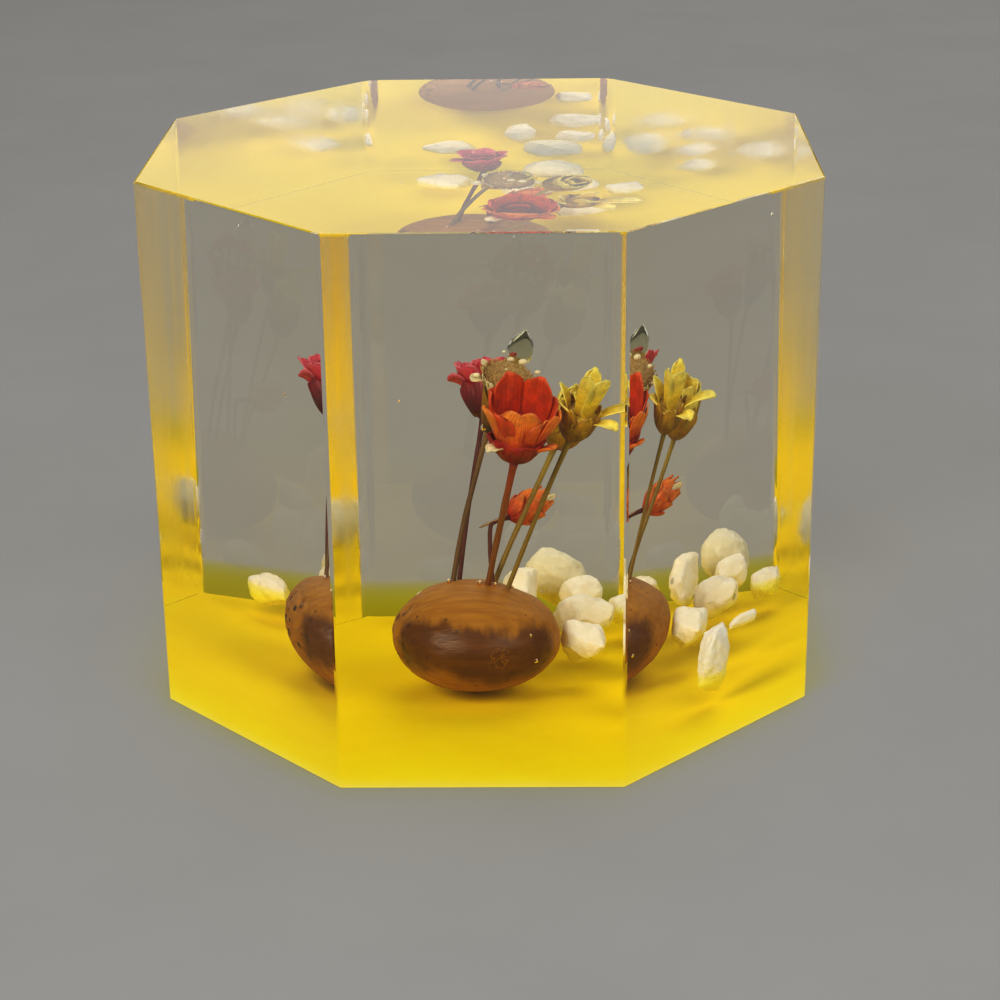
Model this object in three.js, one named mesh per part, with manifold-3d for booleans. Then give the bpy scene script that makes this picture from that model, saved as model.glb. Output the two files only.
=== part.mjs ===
// Clear octagonal paperweight: a nut with dried flowers and stone chips, cast over a yellow base layer.
// Millimetres, +Z up. The origin is the middle of the underside, and the front face looks to -Y.
import * as THREE from 'three';
import { ConvexGeometry } from 'three/addons/geometries/ConvexGeometry.js';
import * as BufferGeometryUtils from 'three/addons/utils/BufferGeometryUtils.js';
import Module from 'manifold-3d';

const wasm = await Module();
wasm.setup();

// Block
const ACROSS_FLATS = 60;
const BLOCK_HEIGHT = 50;
const BASE_THICKNESS = 4;
const PARTING_Y = 2;
const CORNERS = 8;
const CORNER_RADIUS = ACROSS_FLATS / 2 / Math.cos(Math.PI / CORNERS);

// Clearance around each piece in the pocket, and between a stem and its flower
const POCKET_GAP = 0.3;
const STEM_GAP = 0.15;

// Nut: its half sizes along X, Y and Z, and how much its right end is slimmer than its left
const NUT_CENTRE = new THREE.Vector3(-0.85, 1.1, 5.95);
const NUT_HALF = new THREE.Vector3(8.0, 8.2, 5.35);
const NUT_TILT = 3;
const NUT_TAPER = 0.05;
const NUT_SEGMENTS = 22;
const NUT_RINGS = 14;

// Stems: sides, steps along the length, and how deep the foot sits in the nut
const STEM_SIDES = 8;
const STEM_STEPS = 7;
const FOOT_DEPTH = 0.7;

// Petals: steps across and along, and sheet thickness
const PETAL_ACROSS = 2;
const PETAL_ALONG = 2;
const PETAL_THICKNESS = 0.22;

// A petal's width follows a stretch of a sine wave: where it starts, how much of it there is, and the cupping
const PETAL_FOOT = 0.22;
const PETAL_TAPER = 0.62;
const PETAL_CUP = 0.35;
const CORE_SEGMENTS = 10;

// Pockets are coarser than the pieces in them: sides, steps along a stem, and levels along a flower
const POCKET_SIDES = 8;
const POCKET_STEPS = 6;
const POCKET_LEVELS = 3;
const CHIP_POCKET_REACH = 1.5 * POCKET_GAP;
const NUT_POCKET_SEGMENTS = 16;
const NUT_POCKET_RINGS = 10;

// Stone chips: corner points of each chip, how blocky it is and how far its corners vary
const CHIP_POINTS = 15;
const CHIP_BLUNTNESS = 4;
const CHIP_ROUGHNESS = 0.22;
const GOLDEN_ANGLE = Math.PI * (3 - Math.sqrt(5));

// Fixed sequence of numbers that shapes the chips
const SEQUENCE_START = 7919;
const SEQUENCE_FACTOR = 16807;
const SEQUENCE_PERIOD = 2147483647;

// Flowers. The axis runs from base to tip, and the stem passes through its points from foot to base.
// Each row of petals gives its count, the height and radius it grows at, its size, its lean and its bend.
const FLOWERS = [
  {
    name: 'crimson', head: 'crimson_flower', color: 0xb81233, stemColor: 0x5a1512, stemRadius: 0.24,
    stem: [[-2.5, 4.2, 10.5], [-1.7, 5.8, 16.5], [-0.7, 7.9, 22.3]],
    base: [-0.1, 9.3, 25.7], tip: [-0.4, 11.6, 30.1], spin: 20,
    core: [[0.4, 0], [1.1, 0.7], [1.6, 2.2], [1.7, 3.3]],
    rows: [
      { count: 7, height: 2.8, radius: 1.4, length: 3.4, width: 2.2, lean: 10, bend: 40 },
    ],
  },
  {
    name: 'brown', head: 'brown_flower', color: 0x7a5a30, stemColor: 0x6b5226, stemRadius: 0.26,
    stem: [[-3.1, 2.8, 10.5], [-2.1, 3.2, 16.0], [-0.7, 3.8, 21.5]],
    base: [0.4, 3.9, 25.6], tip: [2.7, 1.9, 31.6], spin: 0,
    core: [[0.4, 0], [0.9, 0.8], [1.4, 2.8], [2.1, 4.9], [2.45, 5.8], [2.1, 6.7], [1.2, 7.1]],
    rows: [
      { count: 9, height: 5.0, radius: 2.0, length: 1.6, width: 1.3, lean: 42, bend: -30 },
    ],
  },
  {
    name: 'orange', head: 'orange_flower', color: 0xd8380c, stemColor: 0x8a4512, stemRadius: 0.31,
    stem: [[0.2, 1.4, 10.6], [0.9, -0.2, 14.5], [1.9, -2.4, 19.6]],
    base: [2.9, -4.9, 24.7], tip: [3.9, -6.6, 32.4], spin: 12,
    core: [[0.5, 0], [1.5, 0.5], [2.1, 1.4], [2.0, 2.4]],
    rows: [
      { count: 4, height: 0.8, radius: 1.4, length: 2.6, width: 2.5, lean: 50, bend: -10 },
      { count: 5, height: 1.4, radius: 1.7, length: 3.9, width: 3.2, lean: 25, bend: -4 },
      { count: 5, height: 1.8, radius: 1.3, length: 5.6, width: 3.2, lean: 14, bend: -12 },
    ],
  },
  {
    name: 'front_yellow', head: 'front_yellow_flower', color: 0xd9c024, stemColor: 0x8a6a1c, stemRadius: 0.23,
    stem: [[2.0, 1.2, 10.4], [3.8, 0.0, 15.5], [5.9, -1.4, 21.2]],
    base: [7.9, -2.7, 26.3], tip: [10.5, -5.4, 33.4], spin: 40,
    core: [[0.4, 0], [1.2, 0.7], [1.75, 1.9], [1.75, 3.2]],
    rows: [
      { count: 5, height: 2.8, radius: 1.3, length: 3.4, width: 1.7, lean: 22, bend: 26 },
      { count: 4, height: 2.9, radius: 0.7, length: 5.2, width: 1.8, lean: 8, bend: 0 },
    ],
  },
  {
    name: 'back_yellow', head: 'back_yellow_flower', color: 0xd0b020, stemColor: 0x86701c, stemRadius: 0.26,
    stem: [[0.8, 4.7, 10.3], [2.4, 5.0, 14.3], [4.6, 5.4, 19.2]],
    base: [6.6, 5.4, 23.8], tip: [9.5, 2.6, 30.4], spin: 10,
    core: [[0.4, 0], [1.3, 0.7], [1.9, 2.0], [1.9, 3.0]],
    rows: [
      { count: 6, height: 2.4, radius: 1.6, length: 3.6, width: 2.0, lean: 12, bend: -26 },
      { count: 3, height: 2.7, radius: 0.8, length: 4.0, width: 1.6, lean: 6, bend: -10 },
    ],
  },
  {
    name: 'bud', head: 'orange_bud', color: 0xe05a10, stemColor: 0x5e1c10, stemRadius: 0.22,
    stem: [[0.7, 3.4, 10.5], [0.5, 4.1, 13.3], [0.5, 4.9, 15.7], [0.9, 5.5, 16.3]],
    base: [2.4, 6.7, 16.5], tip: [6.4, 8.8, 18.5], spin: 0,
    core: [[0.35, 0], [1.0, 0.5], [1.4, 1.4], [1.1, 2.2]],
    rows: [
      { count: 4, height: 0.7, radius: 0.8, length: 2.5, width: 1.9, lean: 32, bend: -34 },
      { count: 4, height: 1.5, radius: 0.8, length: 3.3, width: 1.7, lean: 16, bend: -32 },
    ],
  },
];

// The splinter where the bud's stem broke over
const SPLINTER_FROM = new THREE.Vector3(-0.6, 4.6, 15.9);
const SPLINTER_TO = new THREE.Vector3(1.5, 5.8, 16.6);
const SPLINTER_RADIUS = 0.13;
const SPLINTER_POINT = 0.05;

// Stone chips: middle, full size, turn about Z in degrees, and seed of the chip's shape
const STONES = [
  { name: 'stone_back', at: [6.9, 26.0, 5.4], size: [7.2, 5.4, 6.4], turn: -8, seed: 3 },
  { name: 'stone_back_low', at: [9.2, 20.7, 4.6], size: [4.4, 4.4, 4.4], turn: 20, seed: 11 },
  { name: 'stone_middle', at: [9.2, 13.7, 4.4], size: [6.6, 6.2, 4.8], turn: 12, seed: 5 },
  { name: 'stone_behind_nut', at: [3.2, 19.1, 5.2], size: [3.8, 7.0, 6.4], turn: 4, seed: 8 },
  { name: 'stone_by_nut', at: [9.1, 3.4, 4.7], size: [4.8, 5.2, 4.7], turn: -12, seed: 14 },
  { name: 'stone_right', at: [13.9, 20.9, 3.2], size: [4.4, 4.4, 3.9], turn: 15, seed: 21 },
  { name: 'stone_standing', at: [16.6, -9.8, 5.1], size: [4.8, 4.6, 7.9], turn: 40, seed: 6 },
  { name: 'stone_left', at: [-4.4, 23.6, 3.2], size: [6.4, 5.4, 3.7], turn: -30, seed: 9 },
  { name: 'stone_sliver', at: [16.3, 3.6, 4.5], size: [5.0, 1.7, 1.4], turn: 50, seed: 2 },
];

const CLEAR = { color: 0xe8ecea, roughness: 0.05, transparent: true, opacity: 0.3 };
const YELLOW = { color: 0xf0cc08, roughness: 0.15, transparent: true, opacity: 0.85 };
const SHELL = { color: 0x9a5c1c, roughness: 0.45 };
const MARBLE = { color: 0xf2ede0, roughness: 0.55 };
const DRIED = { roughness: 0.75 };

const UP = new THREE.Vector3(0, 0, 1);
const vector = (point) => new THREE.Vector3(...point);
const radians = (degrees) => THREE.MathUtils.degToRad(degrees);

// Closed solid of a geometry, without the flat triangles that a lathe leaves on its axis
function solidOf(geometry) {
  const bare = geometry.clone();
  bare.deleteAttribute('normal');
  bare.deleteAttribute('uv');
  const merged = BufferGeometryUtils.mergeVertices(bare, 1e-4);
  const index = merged.index.array;
  const kept = [];
  for (let i = 0; i < index.length; i += 3) {
    const [a, b, c] = index.subarray(i, i + 3);
    if (a !== b && b !== c && c !== a) kept.push(a, b, c);
  }
  return new wasm.Manifold(new wasm.Mesh({
    numProp: 3,
    vertProperties: Float32Array.from(merged.attributes.position.array),
    triVerts: Uint32Array.from(kept),
  }));
}

// Geometry of a solid
function geometryOf(solid) {
  const { vertProperties, triVerts } = solid.getMesh();
  const geometry = new THREE.BufferGeometry();
  geometry.setAttribute('position', new THREE.BufferAttribute(Float32Array.from(vertProperties), 3));
  geometry.setIndex(new THREE.BufferAttribute(Uint32Array.from(triVerts), 1));
  return geometry;
}

// All the solids as one
const joined = (solids) => solids.reduce((whole, solid) => whole.add(solid));

// The largest body of a solid, without the small hollows that petals close off between them
const outerBody = (solid) => solid.decompose().sort((a, b) => b.volume() - a.volume())[0];

// Mesh with a name and a material of its own
function named(name, geometry, finish) {
  const mesh = new THREE.Mesh(geometry, new THREE.MeshStandardMaterial({ metalness: 0, ...finish }));
  mesh.name = name;
  return mesh;
}

// Octagonal prism with flats towards X and Y
function octagonPrism(bottom, top) {
  const shape = new THREE.Shape();
  for (let i = 0; i < CORNERS; i += 1) {
    const angle = (2 * i + 1) * Math.PI / CORNERS;
    const [x, y] = [CORNER_RADIUS * Math.cos(angle), CORNER_RADIUS * Math.sin(angle)];
    if (i === 0) shape.moveTo(x, y);
    else shape.lineTo(x, y);
  }
  return new THREE.ExtrudeGeometry(shape, { depth: top - bottom, bevelEnabled: false })
    .translate(0, 0, bottom);
}

// Nut lying on its side, blunter at the left; grow adds to every half size
function nutGeometry(grow, segments, rings) {
  const geometry = new THREE.SphereGeometry(1, segments, rings).rotateZ(Math.PI / 2);
  const position = geometry.attributes.position;
  for (let i = 0; i < position.count; i += 1) {
    const girth = 1 - NUT_TAPER * position.getX(i);
    position.setY(i, position.getY(i) * girth);
    position.setZ(i, position.getZ(i) * girth);
  }
  return geometry
    .scale(NUT_HALF.x + grow, NUT_HALF.y + grow, NUT_HALF.z + grow)
    .rotateY(radians(NUT_TILT))
    .translate(NUT_CENTRE.x, NUT_CENTRE.y, NUT_CENTRE.z);
}

// Round stem along a curve; grow thickens it and lengthens both ends
function stemGeometry(flower, grow, sides, steps) {
  const axis = vector(flower.tip).sub(vector(flower.base)).normalize();
  const points = flower.stem.map(vector);
  const down = points[0].clone().sub(points[1]).normalize();
  points[0].addScaledVector(down, FOOT_DEPTH + grow);
  points.push(vector(flower.base).addScaledVector(axis, grow - STEM_GAP));
  const section = new THREE.Shape().absarc(0, 0, flower.stemRadius + grow, 0, 2 * Math.PI);
  return new THREE.ExtrudeGeometry(section, {
    extrudePath: new THREE.CatmullRomCurve3(points, false, 'centripetal'),
    steps,
    curveSegments: sides / 2,
    bevelEnabled: false,
  });
}

// Pointed splinter along the break of the bud's stem
function splinterGeometry(grow) {
  const along = SPLINTER_TO.clone().sub(SPLINTER_FROM);
  const middle = SPLINTER_FROM.clone().addScaledVector(along, 0.5);
  const direction = along.clone().normalize();
  const turn = new THREE.Quaternion().setFromUnitVectors(new THREE.Vector3(0, 1, 0), direction);
  const [thick, thin] = [SPLINTER_RADIUS + grow, SPLINTER_POINT + grow];
  return new THREE.CylinderGeometry(thick, thin, along.length(), STEM_SIDES)
    .applyQuaternion(turn)
    .translate(middle.x, middle.y, middle.z);
}

// One cupped petal that grows outwards from a ring around the flower's axis
function petalGeometry({ height, radius, length, width, lean, bend }, turn) {
  const geometry = new THREE.BoxGeometry(1, 1, 1, PETAL_ACROSS, PETAL_ALONG, 1);
  const position = geometry.attributes.position;
  for (let i = 0; i < position.count; i += 1) {
    const across = 2 * position.getX(i);
    const along = position.getY(i) + 0.5;
    const angle = radians(lean + bend * along);
    const middle = radians(lean + 0.5 * bend * along);
    const halfWidth = 0.5 * width * Math.sin(Math.PI * (PETAL_FOOT + PETAL_TAPER * along));
    const outward = PETAL_THICKNESS * position.getZ(i) - PETAL_CUP * halfWidth * across * across;
    position.setXYZ(
      i,
      radius + length * along * Math.sin(middle) + outward * Math.cos(angle),
      across * halfWidth,
      height + length * along * Math.cos(middle) - outward * Math.sin(angle),
    );
  }
  return geometry.rotateZ(turn);
}

// Flower head with its axis on +Z: a round core with rows of petals fused to it
function headGeometry({ core, rows }) {
  const outline = core.map(([radius, height]) => new THREE.Vector2(radius, height));
  const bottom = new THREE.Vector2(0, core[0][1]);
  const top = new THREE.Vector2(0, core[core.length - 1][1]);
  const pieces = [new THREE.LatheGeometry([bottom, ...outline, top], CORE_SEGMENTS).rotateX(Math.PI / 2)];
  rows.forEach((row, layer) => {
    for (let i = 0; i < row.count; i += 1) {
      pieces.push(petalGeometry(row, 2 * Math.PI * (i + 0.5 * (layer % 2)) / row.count));
    }
  });
  return geometryOf(outerBody(joined(pieces.map(solidOf))));
}

// Angular chip: the hull of points spread over a ball, each pushed in or out by a fixed sequence
function chipGeometry({ size, seed }) {
  let state = seed * SEQUENCE_START;
  const points = [];
  for (let i = 0; i < CHIP_POINTS; i += 1) {
    state = (state * SEQUENCE_FACTOR) % SEQUENCE_PERIOD;
    const reach = 0.5 * (1 - CHIP_ROUGHNESS * (state / SEQUENCE_PERIOD));
    const height = 1 - 2 * (i + 0.5) / CHIP_POINTS;
    const ring = Math.sqrt(1 - height * height);
    const side = [
      ring * Math.cos(GOLDEN_ANGLE * i + seed),
      ring * Math.sin(GOLDEN_ANGLE * i + seed),
      height,
    ];
    const sum = side.reduce((all, part) => all + Math.abs(part) ** CHIP_BLUNTNESS, 0);
    const norm = sum ** (1 / CHIP_BLUNTNESS);
    points.push(new THREE.Vector3(...side.map((part, axis) => size[axis] * reach * part / norm)));
  }
  return new ConvexGeometry(points);
}

// Round pocket around a flower head, following its widest reach at a few heights
function roundPocket(head) {
  const position = head.geometry.attributes.position;
  head.geometry.computeBoundingBox();
  const { min, max } = head.geometry.boundingBox;
  const bottom = min.z - POCKET_GAP;
  const top = max.z + POCKET_GAP;
  const step = (top - bottom) / POCKET_LEVELS;
  const reach = new Array(POCKET_LEVELS + 1).fill(0);
  for (let i = 0; i < position.count; i += 1) {
    const level = (position.getZ(i) - bottom) / step;
    const radius = Math.hypot(position.getX(i), position.getY(i)) / Math.cos(Math.PI / POCKET_SIDES);
    for (const near of [Math.floor(level), Math.ceil(level)]) {
      reach[near] = Math.max(reach[near], radius + POCKET_GAP);
    }
  }
  const outline = reach.map((radius, level) => new THREE.Vector2(radius, bottom + level * step));
  const profile = [new THREE.Vector2(0, bottom), ...outline, new THREE.Vector2(0, top)];
  head.updateMatrix();
  const pocket = new THREE.LatheGeometry(profile, POCKET_SIDES).rotateX(Math.PI / 2);
  return solidOf(pocket.applyMatrix4(head.matrix));
}

// Simple convex pocket around a placed chip, larger than it by the pocket gap
function pocketAround(mesh) {
  mesh.updateMatrix();
  const position = mesh.geometry.clone().applyMatrix4(mesh.matrix).attributes.position;
  const points = [];
  const middle = new THREE.Vector3();
  for (let i = 0; i < position.count; i += 1) {
    points.push(new THREE.Vector3().fromBufferAttribute(position, i));
    middle.addScaledVector(points[i], 1 / position.count);
  }
  for (const point of points) {
    const away = point.clone().sub(middle).normalize();
    point.addScaledVector(away, CHIP_POCKET_REACH);
  }
  return solidOf(new ConvexGeometry(points));
}

const paperweight = new THREE.Group();
paperweight.name = 'paperweight';
const arrangement = new THREE.Group();
arrangement.name = 'arrangement';
const chips = new THREE.Group();
chips.name = 'stones';
const block = new THREE.Group();
block.name = 'block';
paperweight.add(block, arrangement, chips);

// Flowers and stems, and the pockets they leave in the resin
const stemPockets = [];
const flowerPockets = [];
for (const flower of FLOWERS) {
  const axis = vector(flower.tip).sub(vector(flower.base)).normalize();
  const head = named(flower.head, headGeometry(flower), { ...DRIED, color: flower.color });
  head.position.copy(vector(flower.base));
  head.quaternion.setFromUnitVectors(UP, axis);
  head.rotateZ(radians(flower.spin));
  const stemParts = [solidOf(stemGeometry(flower, 0, STEM_SIDES, STEM_STEPS))];
  stemPockets.push(solidOf(stemGeometry(flower, POCKET_GAP, POCKET_SIDES, POCKET_STEPS)));
  if (flower.name === 'bud') {
    stemParts.push(solidOf(splinterGeometry(0)));
    flowerPockets.push(solidOf(splinterGeometry(POCKET_GAP)));
  }
  flowerPockets.push(roundPocket(head));
  const stemFinish = { ...DRIED, color: flower.stemColor };
  arrangement.add(named(`${flower.name}_stem`, geometryOf(joined(stemParts)), stemFinish), head);
}

// Nut with a hole for each stem's foot
const nutSolid = solidOf(nutGeometry(0, NUT_SEGMENTS, NUT_RINGS)).subtract(joined(stemPockets));
arrangement.add(named('nut', geometryOf(nutSolid), SHELL));

// Stone chips
const stonePockets = [];
for (const stone of STONES) {
  const chip = named(stone.name, chipGeometry(stone), MARBLE);
  chip.position.copy(vector(stone.at));
  chip.rotation.z = radians(stone.turn);
  stonePockets.push(pocketAround(chip));
  chips.add(chip);
}

// Yellow layer and the two clear halves, each with its share of the pocket
const nutPocket = solidOf(nutGeometry(POCKET_GAP, NUT_POCKET_SEGMENTS, NUT_POCKET_RINGS));
const pocket = joined([nutPocket, ...stemPockets, ...flowerPockets, ...stonePockets]);
const yellowBase = solidOf(octagonPrism(0, BASE_THICKNESS)).subtract(pocket);
block.add(named('yellow_base', geometryOf(yellowBase), YELLOW));

const clear = solidOf(octagonPrism(BASE_THICKNESS, BLOCK_HEIGHT)).subtract(pocket);
const cutter = solidOf(new THREE.BoxGeometry(2 * ACROSS_FLATS, 2 * ACROSS_FLATS, 4 * BLOCK_HEIGHT)
  .translate(0, PARTING_Y - ACROSS_FLATS, 0));
block.add(named('clear_front_half', geometryOf(clear.intersect(cutter)), CLEAR));
block.add(named('clear_back_half', geometryOf(clear.subtract(cutter)), CLEAR));

export default paperweight;
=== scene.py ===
"""Looks of the dried flower paperweight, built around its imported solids.

Blender works in metres with +Z up, and the block's front face looks to -Y.
The sizes in the tables below are millimetres, and angles are degrees.
"""

from __future__ import annotations

import logging
import math
import random
from dataclasses import dataclass
from enum import Enum
from typing import Protocol, Sequence, Union

import bmesh
import bpy
from bmesh.types import BMEdge, BMesh, BMFace, BMVert
from mathutils import Matrix, Vector, noise


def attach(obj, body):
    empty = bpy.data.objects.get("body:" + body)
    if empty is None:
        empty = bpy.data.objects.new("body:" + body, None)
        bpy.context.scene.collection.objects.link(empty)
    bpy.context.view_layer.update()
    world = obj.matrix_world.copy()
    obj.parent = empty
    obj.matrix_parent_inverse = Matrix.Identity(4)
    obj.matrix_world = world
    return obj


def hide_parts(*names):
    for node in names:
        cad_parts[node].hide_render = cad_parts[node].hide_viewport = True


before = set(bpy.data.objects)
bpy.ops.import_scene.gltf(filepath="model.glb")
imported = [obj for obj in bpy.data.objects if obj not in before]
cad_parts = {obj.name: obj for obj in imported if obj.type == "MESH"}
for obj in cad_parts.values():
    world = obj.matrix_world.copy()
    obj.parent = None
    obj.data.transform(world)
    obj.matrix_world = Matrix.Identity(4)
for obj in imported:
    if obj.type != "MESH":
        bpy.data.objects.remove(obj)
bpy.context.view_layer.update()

MM = 0.001
BODY = "root"
LOG = logging.getLogger("paperweight")
UP = Vector((0.0, 0.0, 1.0))

Colour = tuple[float, float, float]
Point = tuple[float, float, float]
Socket = bpy.types.NodeSocket
Feed = Union[Socket, Colour, float]


class Tip(Enum):
    """How a petal ends."""

    ROUND = "round"
    POINTED = "pointed"
    NOTCHED = "notched"
    FRAYED = "frayed"


class NodeSheet:
    """Adds and joins the nodes of one node tree."""

    MIX_FIRST = 6
    MIX_SECOND = 7
    MIX_RESULT = 2

    def __init__(self, tree: bpy.types.NodeTree) -> None:
        """Keeps the tree that the nodes go into."""
        self.tree = tree

    def add(self, kind: str, values: dict[str, object] | None = None, **settings: object) -> bpy.types.Node:
        """Adds a node.

        Args:
            kind: The node's type, without the start that all shader nodes share.
            values: What its input sockets are set or joined to, by name.
            settings: What is set on the node itself.

        Returns:
            The new node.
        """
        node = self.tree.nodes.new("ShaderNode" + kind)
        for key, value in settings.items():
            setattr(node, key, value)
        for key, value in (values or {}).items():
            self.feed(node.inputs[key], value)
        return node

    def feed(self, socket: Socket, value: object) -> None:
        """Joins a socket to another, or sets its value.

        Args:
            socket: The input socket.
            value: An output socket, a colour, a vector or a number.
        """
        if isinstance(value, bpy.types.NodeSocket):
            self.tree.links.new(value, socket)
        elif socket.type == "RGBA":
            socket.default_value = (*value, 1.0)
        else:
            socket.default_value = value

    def mix(self, factor: Feed, first: Feed, second: Feed, blend: str = "MIX") -> Socket:
        """Mixes two colours.

        Args:
            factor: Share of the second colour.
            first: Colour at a factor of 0.
            second: Colour at a factor of 1.
            blend: How they are mixed.

        Returns:
            The mixed colour.
        """
        node = self.add("Mix", data_type="RGBA", blend_type=blend)
        self.feed(node.inputs[0], factor)
        self.feed(node.inputs[self.MIX_FIRST], first)
        self.feed(node.inputs[self.MIX_SECOND], second)
        return node.outputs[self.MIX_RESULT]

    def math(self, operation: str, first: Feed, second: Feed = 0.0, third: Feed | None = None) -> Socket:
        """Works out one sum of two or three values.

        Args:
            operation: The sum's name.
            first: First value.
            second: Second value.
            third: Third value, for a sum that takes one.

        Returns:
            The result.
        """
        node = self.add("Math", operation=operation)
        for socket, value in zip(node.inputs, (first, second, third)):
            if value is not None:
                self.feed(socket, value)
        return node.outputs[0]

    def scaled(self, value: Feed, by: Feed, plus: Feed | None = None) -> Socket:
        """Multiplies a value, and may add another one."""
        return self.math("MULTIPLY" if plus is None else "MULTIPLY_ADD", value, by, plus)

    def span(self, value: Socket, low: float, high: float) -> Socket:
        """Turns a range of values smoothly into 0 to 1.

        Args:
            value: The value to map.
            low: Where 0 is.
            high: Where 1 is.

        Returns:
            The mapped value.
        """
        settings = {"Value": value, "From Min": low, "From Max": high}
        return self.add("MapRange", settings, interpolation_type="SMOOTHSTEP").outputs["Result"]

    def ramp(self, factor: Socket, stops: Sequence[tuple[float, Colour]]) -> Socket:
        """Runs through several colours.

        Args:
            factor: Where along the ramp each point is.
            stops: Place and colour of each stop, in order.

        Returns:
            The colour.
        """
        node = self.add("ValToRGB", {"Fac": factor})
        elements = node.color_ramp.elements
        while len(elements) < len(stops):
            elements.new(1.0)
        for element, (place, colour) in zip(elements, stops):
            element.position = place
            element.color = (*colour, 1.0)
        return node.outputs["Color"]

    def bump(self, height: Socket, strength: float, distance: float) -> Socket:
        """Raises the surface by a height.

        Args:
            height: The height, from 0 to 1.
            strength: How much of it shows.
            distance: Full height in millimetres.

        Returns:
            The normal.
        """
        values = {"Height": height, "Strength": strength, "Distance": distance * MM}
        return self.add("Bump", values).outputs["Normal"]


class Coat(Protocol):
    """What every finish has: a name, and a way to make its material."""

    name: str

    def make(self, effects: Effects) -> bpy.types.Material:
        """Builds the material."""


class Effects:
    """Node groups that several finishes share, and the materials made so far."""

    VEINS_ACROSS = 7.0
    VEINS_ALONG = 1.3
    VEINS_APART = 23.0

    def __init__(self) -> None:
        """Builds each group once."""
        self.mottle = self.make_mottle()
        self.specks = self.make_specks()
        self.petal = self.make_petal()
        self.made: dict[str, bpy.types.Material] = {}

    def material(self, finish: Coat) -> bpy.types.Material:
        """Hands out a finish's material, which is made the first time.

        Args:
            finish: The finish.

        Returns:
            Its material.
        """
        if finish.name not in self.made:
            self.made[finish.name] = finish.make(self)
        return self.made[finish.name]

    @staticmethod
    def start(name: str, inputs: Sequence[tuple[str, str]], outputs: Sequence[str]) -> tuple[NodeSheet, dict]:
        """Starts a node group.

        Args:
            name: The group's name.
            inputs: Name and kind of each input.
            outputs: Names of its outputs, all plain values.

        Returns:
            The group's sheet, with its ends by name: input sockets to read and output sockets to feed.
        """
        tree = bpy.data.node_groups.new(name, "ShaderNodeTree")
        for label, kind in inputs:
            tree.interface.new_socket(label, in_out="INPUT", socket_type=kind)
        for label in outputs:
            tree.interface.new_socket(label, in_out="OUTPUT", socket_type="NodeSocketFloat")
        first = tree.nodes.new("NodeGroupInput")
        last = tree.nodes.new("NodeGroupOutput")
        ends = {label: first.outputs[label] for label, _ in inputs}
        ends.update({label: last.inputs[label] for label in outputs})
        return NodeSheet(tree), ends

    def make_mottle(self) -> bpy.types.NodeTree:
        """Soft cloudy variation, which may be drawn out in one direction.

        Returns:
            The group, with a Fac output.
        """
        inputs = [("Scale", "NodeSocketFloat"), ("Stretch", "NodeSocketVector")]
        sheet, ends = self.start("mottle", inputs, ["Fac"])
        place = sheet.add("TexCoord").outputs["Object"]
        mapped = sheet.add("Mapping", {"Vector": place, "Scale": ends["Stretch"]})
        values = {"Vector": mapped.outputs[0], "Scale": ends["Scale"], "Detail": 4.0, "Roughness": 0.6}
        cloud = sheet.add("TexNoise", values)
        sheet.feed(ends["Fac"], sheet.span(cloud.outputs[0], 0.3, 0.7))
        return sheet.tree

    def make_specks(self) -> bpy.types.NodeTree:
        """Scattered round specks.

        Returns:
            The group, with a Fac output that is 1 inside a speck.
        """
        inputs = [("Scale", "NodeSocketFloat"), ("Size", "NodeSocketFloat"), ("Share", "NodeSocketFloat")]
        sheet, ends = self.start("specks", inputs, ["Fac"])
        place = sheet.add("TexCoord").outputs["Object"]
        cells = sheet.add("TexVoronoi", {"Vector": place, "Scale": ends["Scale"]})
        inside = sheet.math("LESS_THAN", cells.outputs["Distance"], ends["Size"])
        tint = sheet.add("SeparateColor", {"Color": cells.outputs["Color"]})
        chosen = sheet.math("LESS_THAN", tint.outputs[0], ends["Share"])
        sheet.feed(ends["Fac"], sheet.scaled(inside, chosen))
        return sheet.tree

    def make_petal(self) -> bpy.types.NodeTree:
        """Pattern of a petal, from the places that its mesh carries.

        Returns:
            The group, with Along, Edge, Tone and Vein outputs.
        """
        sheet, ends = self.start("petal_pattern", [], ["Along", "Edge", "Tone", "Vein"])
        along = sheet.add("Attribute", attribute_name="along").outputs["Fac"]
        across = sheet.add("Attribute", attribute_name="across").outputs["Fac"]
        tone = sheet.add("Attribute", attribute_name="tone").outputs["Fac"]
        lines = sheet.add("CombineXYZ", {
            "X": sheet.scaled(across, self.VEINS_ACROSS),
            "Y": sheet.scaled(along, self.VEINS_ALONG),
            "Z": sheet.scaled(tone, self.VEINS_APART),
        })
        veins = sheet.add("TexNoise", {"Vector": lines.outputs[0], "Scale": 1.6, "Detail": 3.0})
        sheet.feed(ends["Along"], along)
        sheet.feed(ends["Edge"], sheet.span(sheet.math("ABSOLUTE", across), 0.7, 1.0))
        sheet.feed(ends["Tone"], tone)
        sheet.feed(ends["Vein"], sheet.span(veins.outputs[0], 0.35, 0.68))
        return sheet.tree


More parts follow.
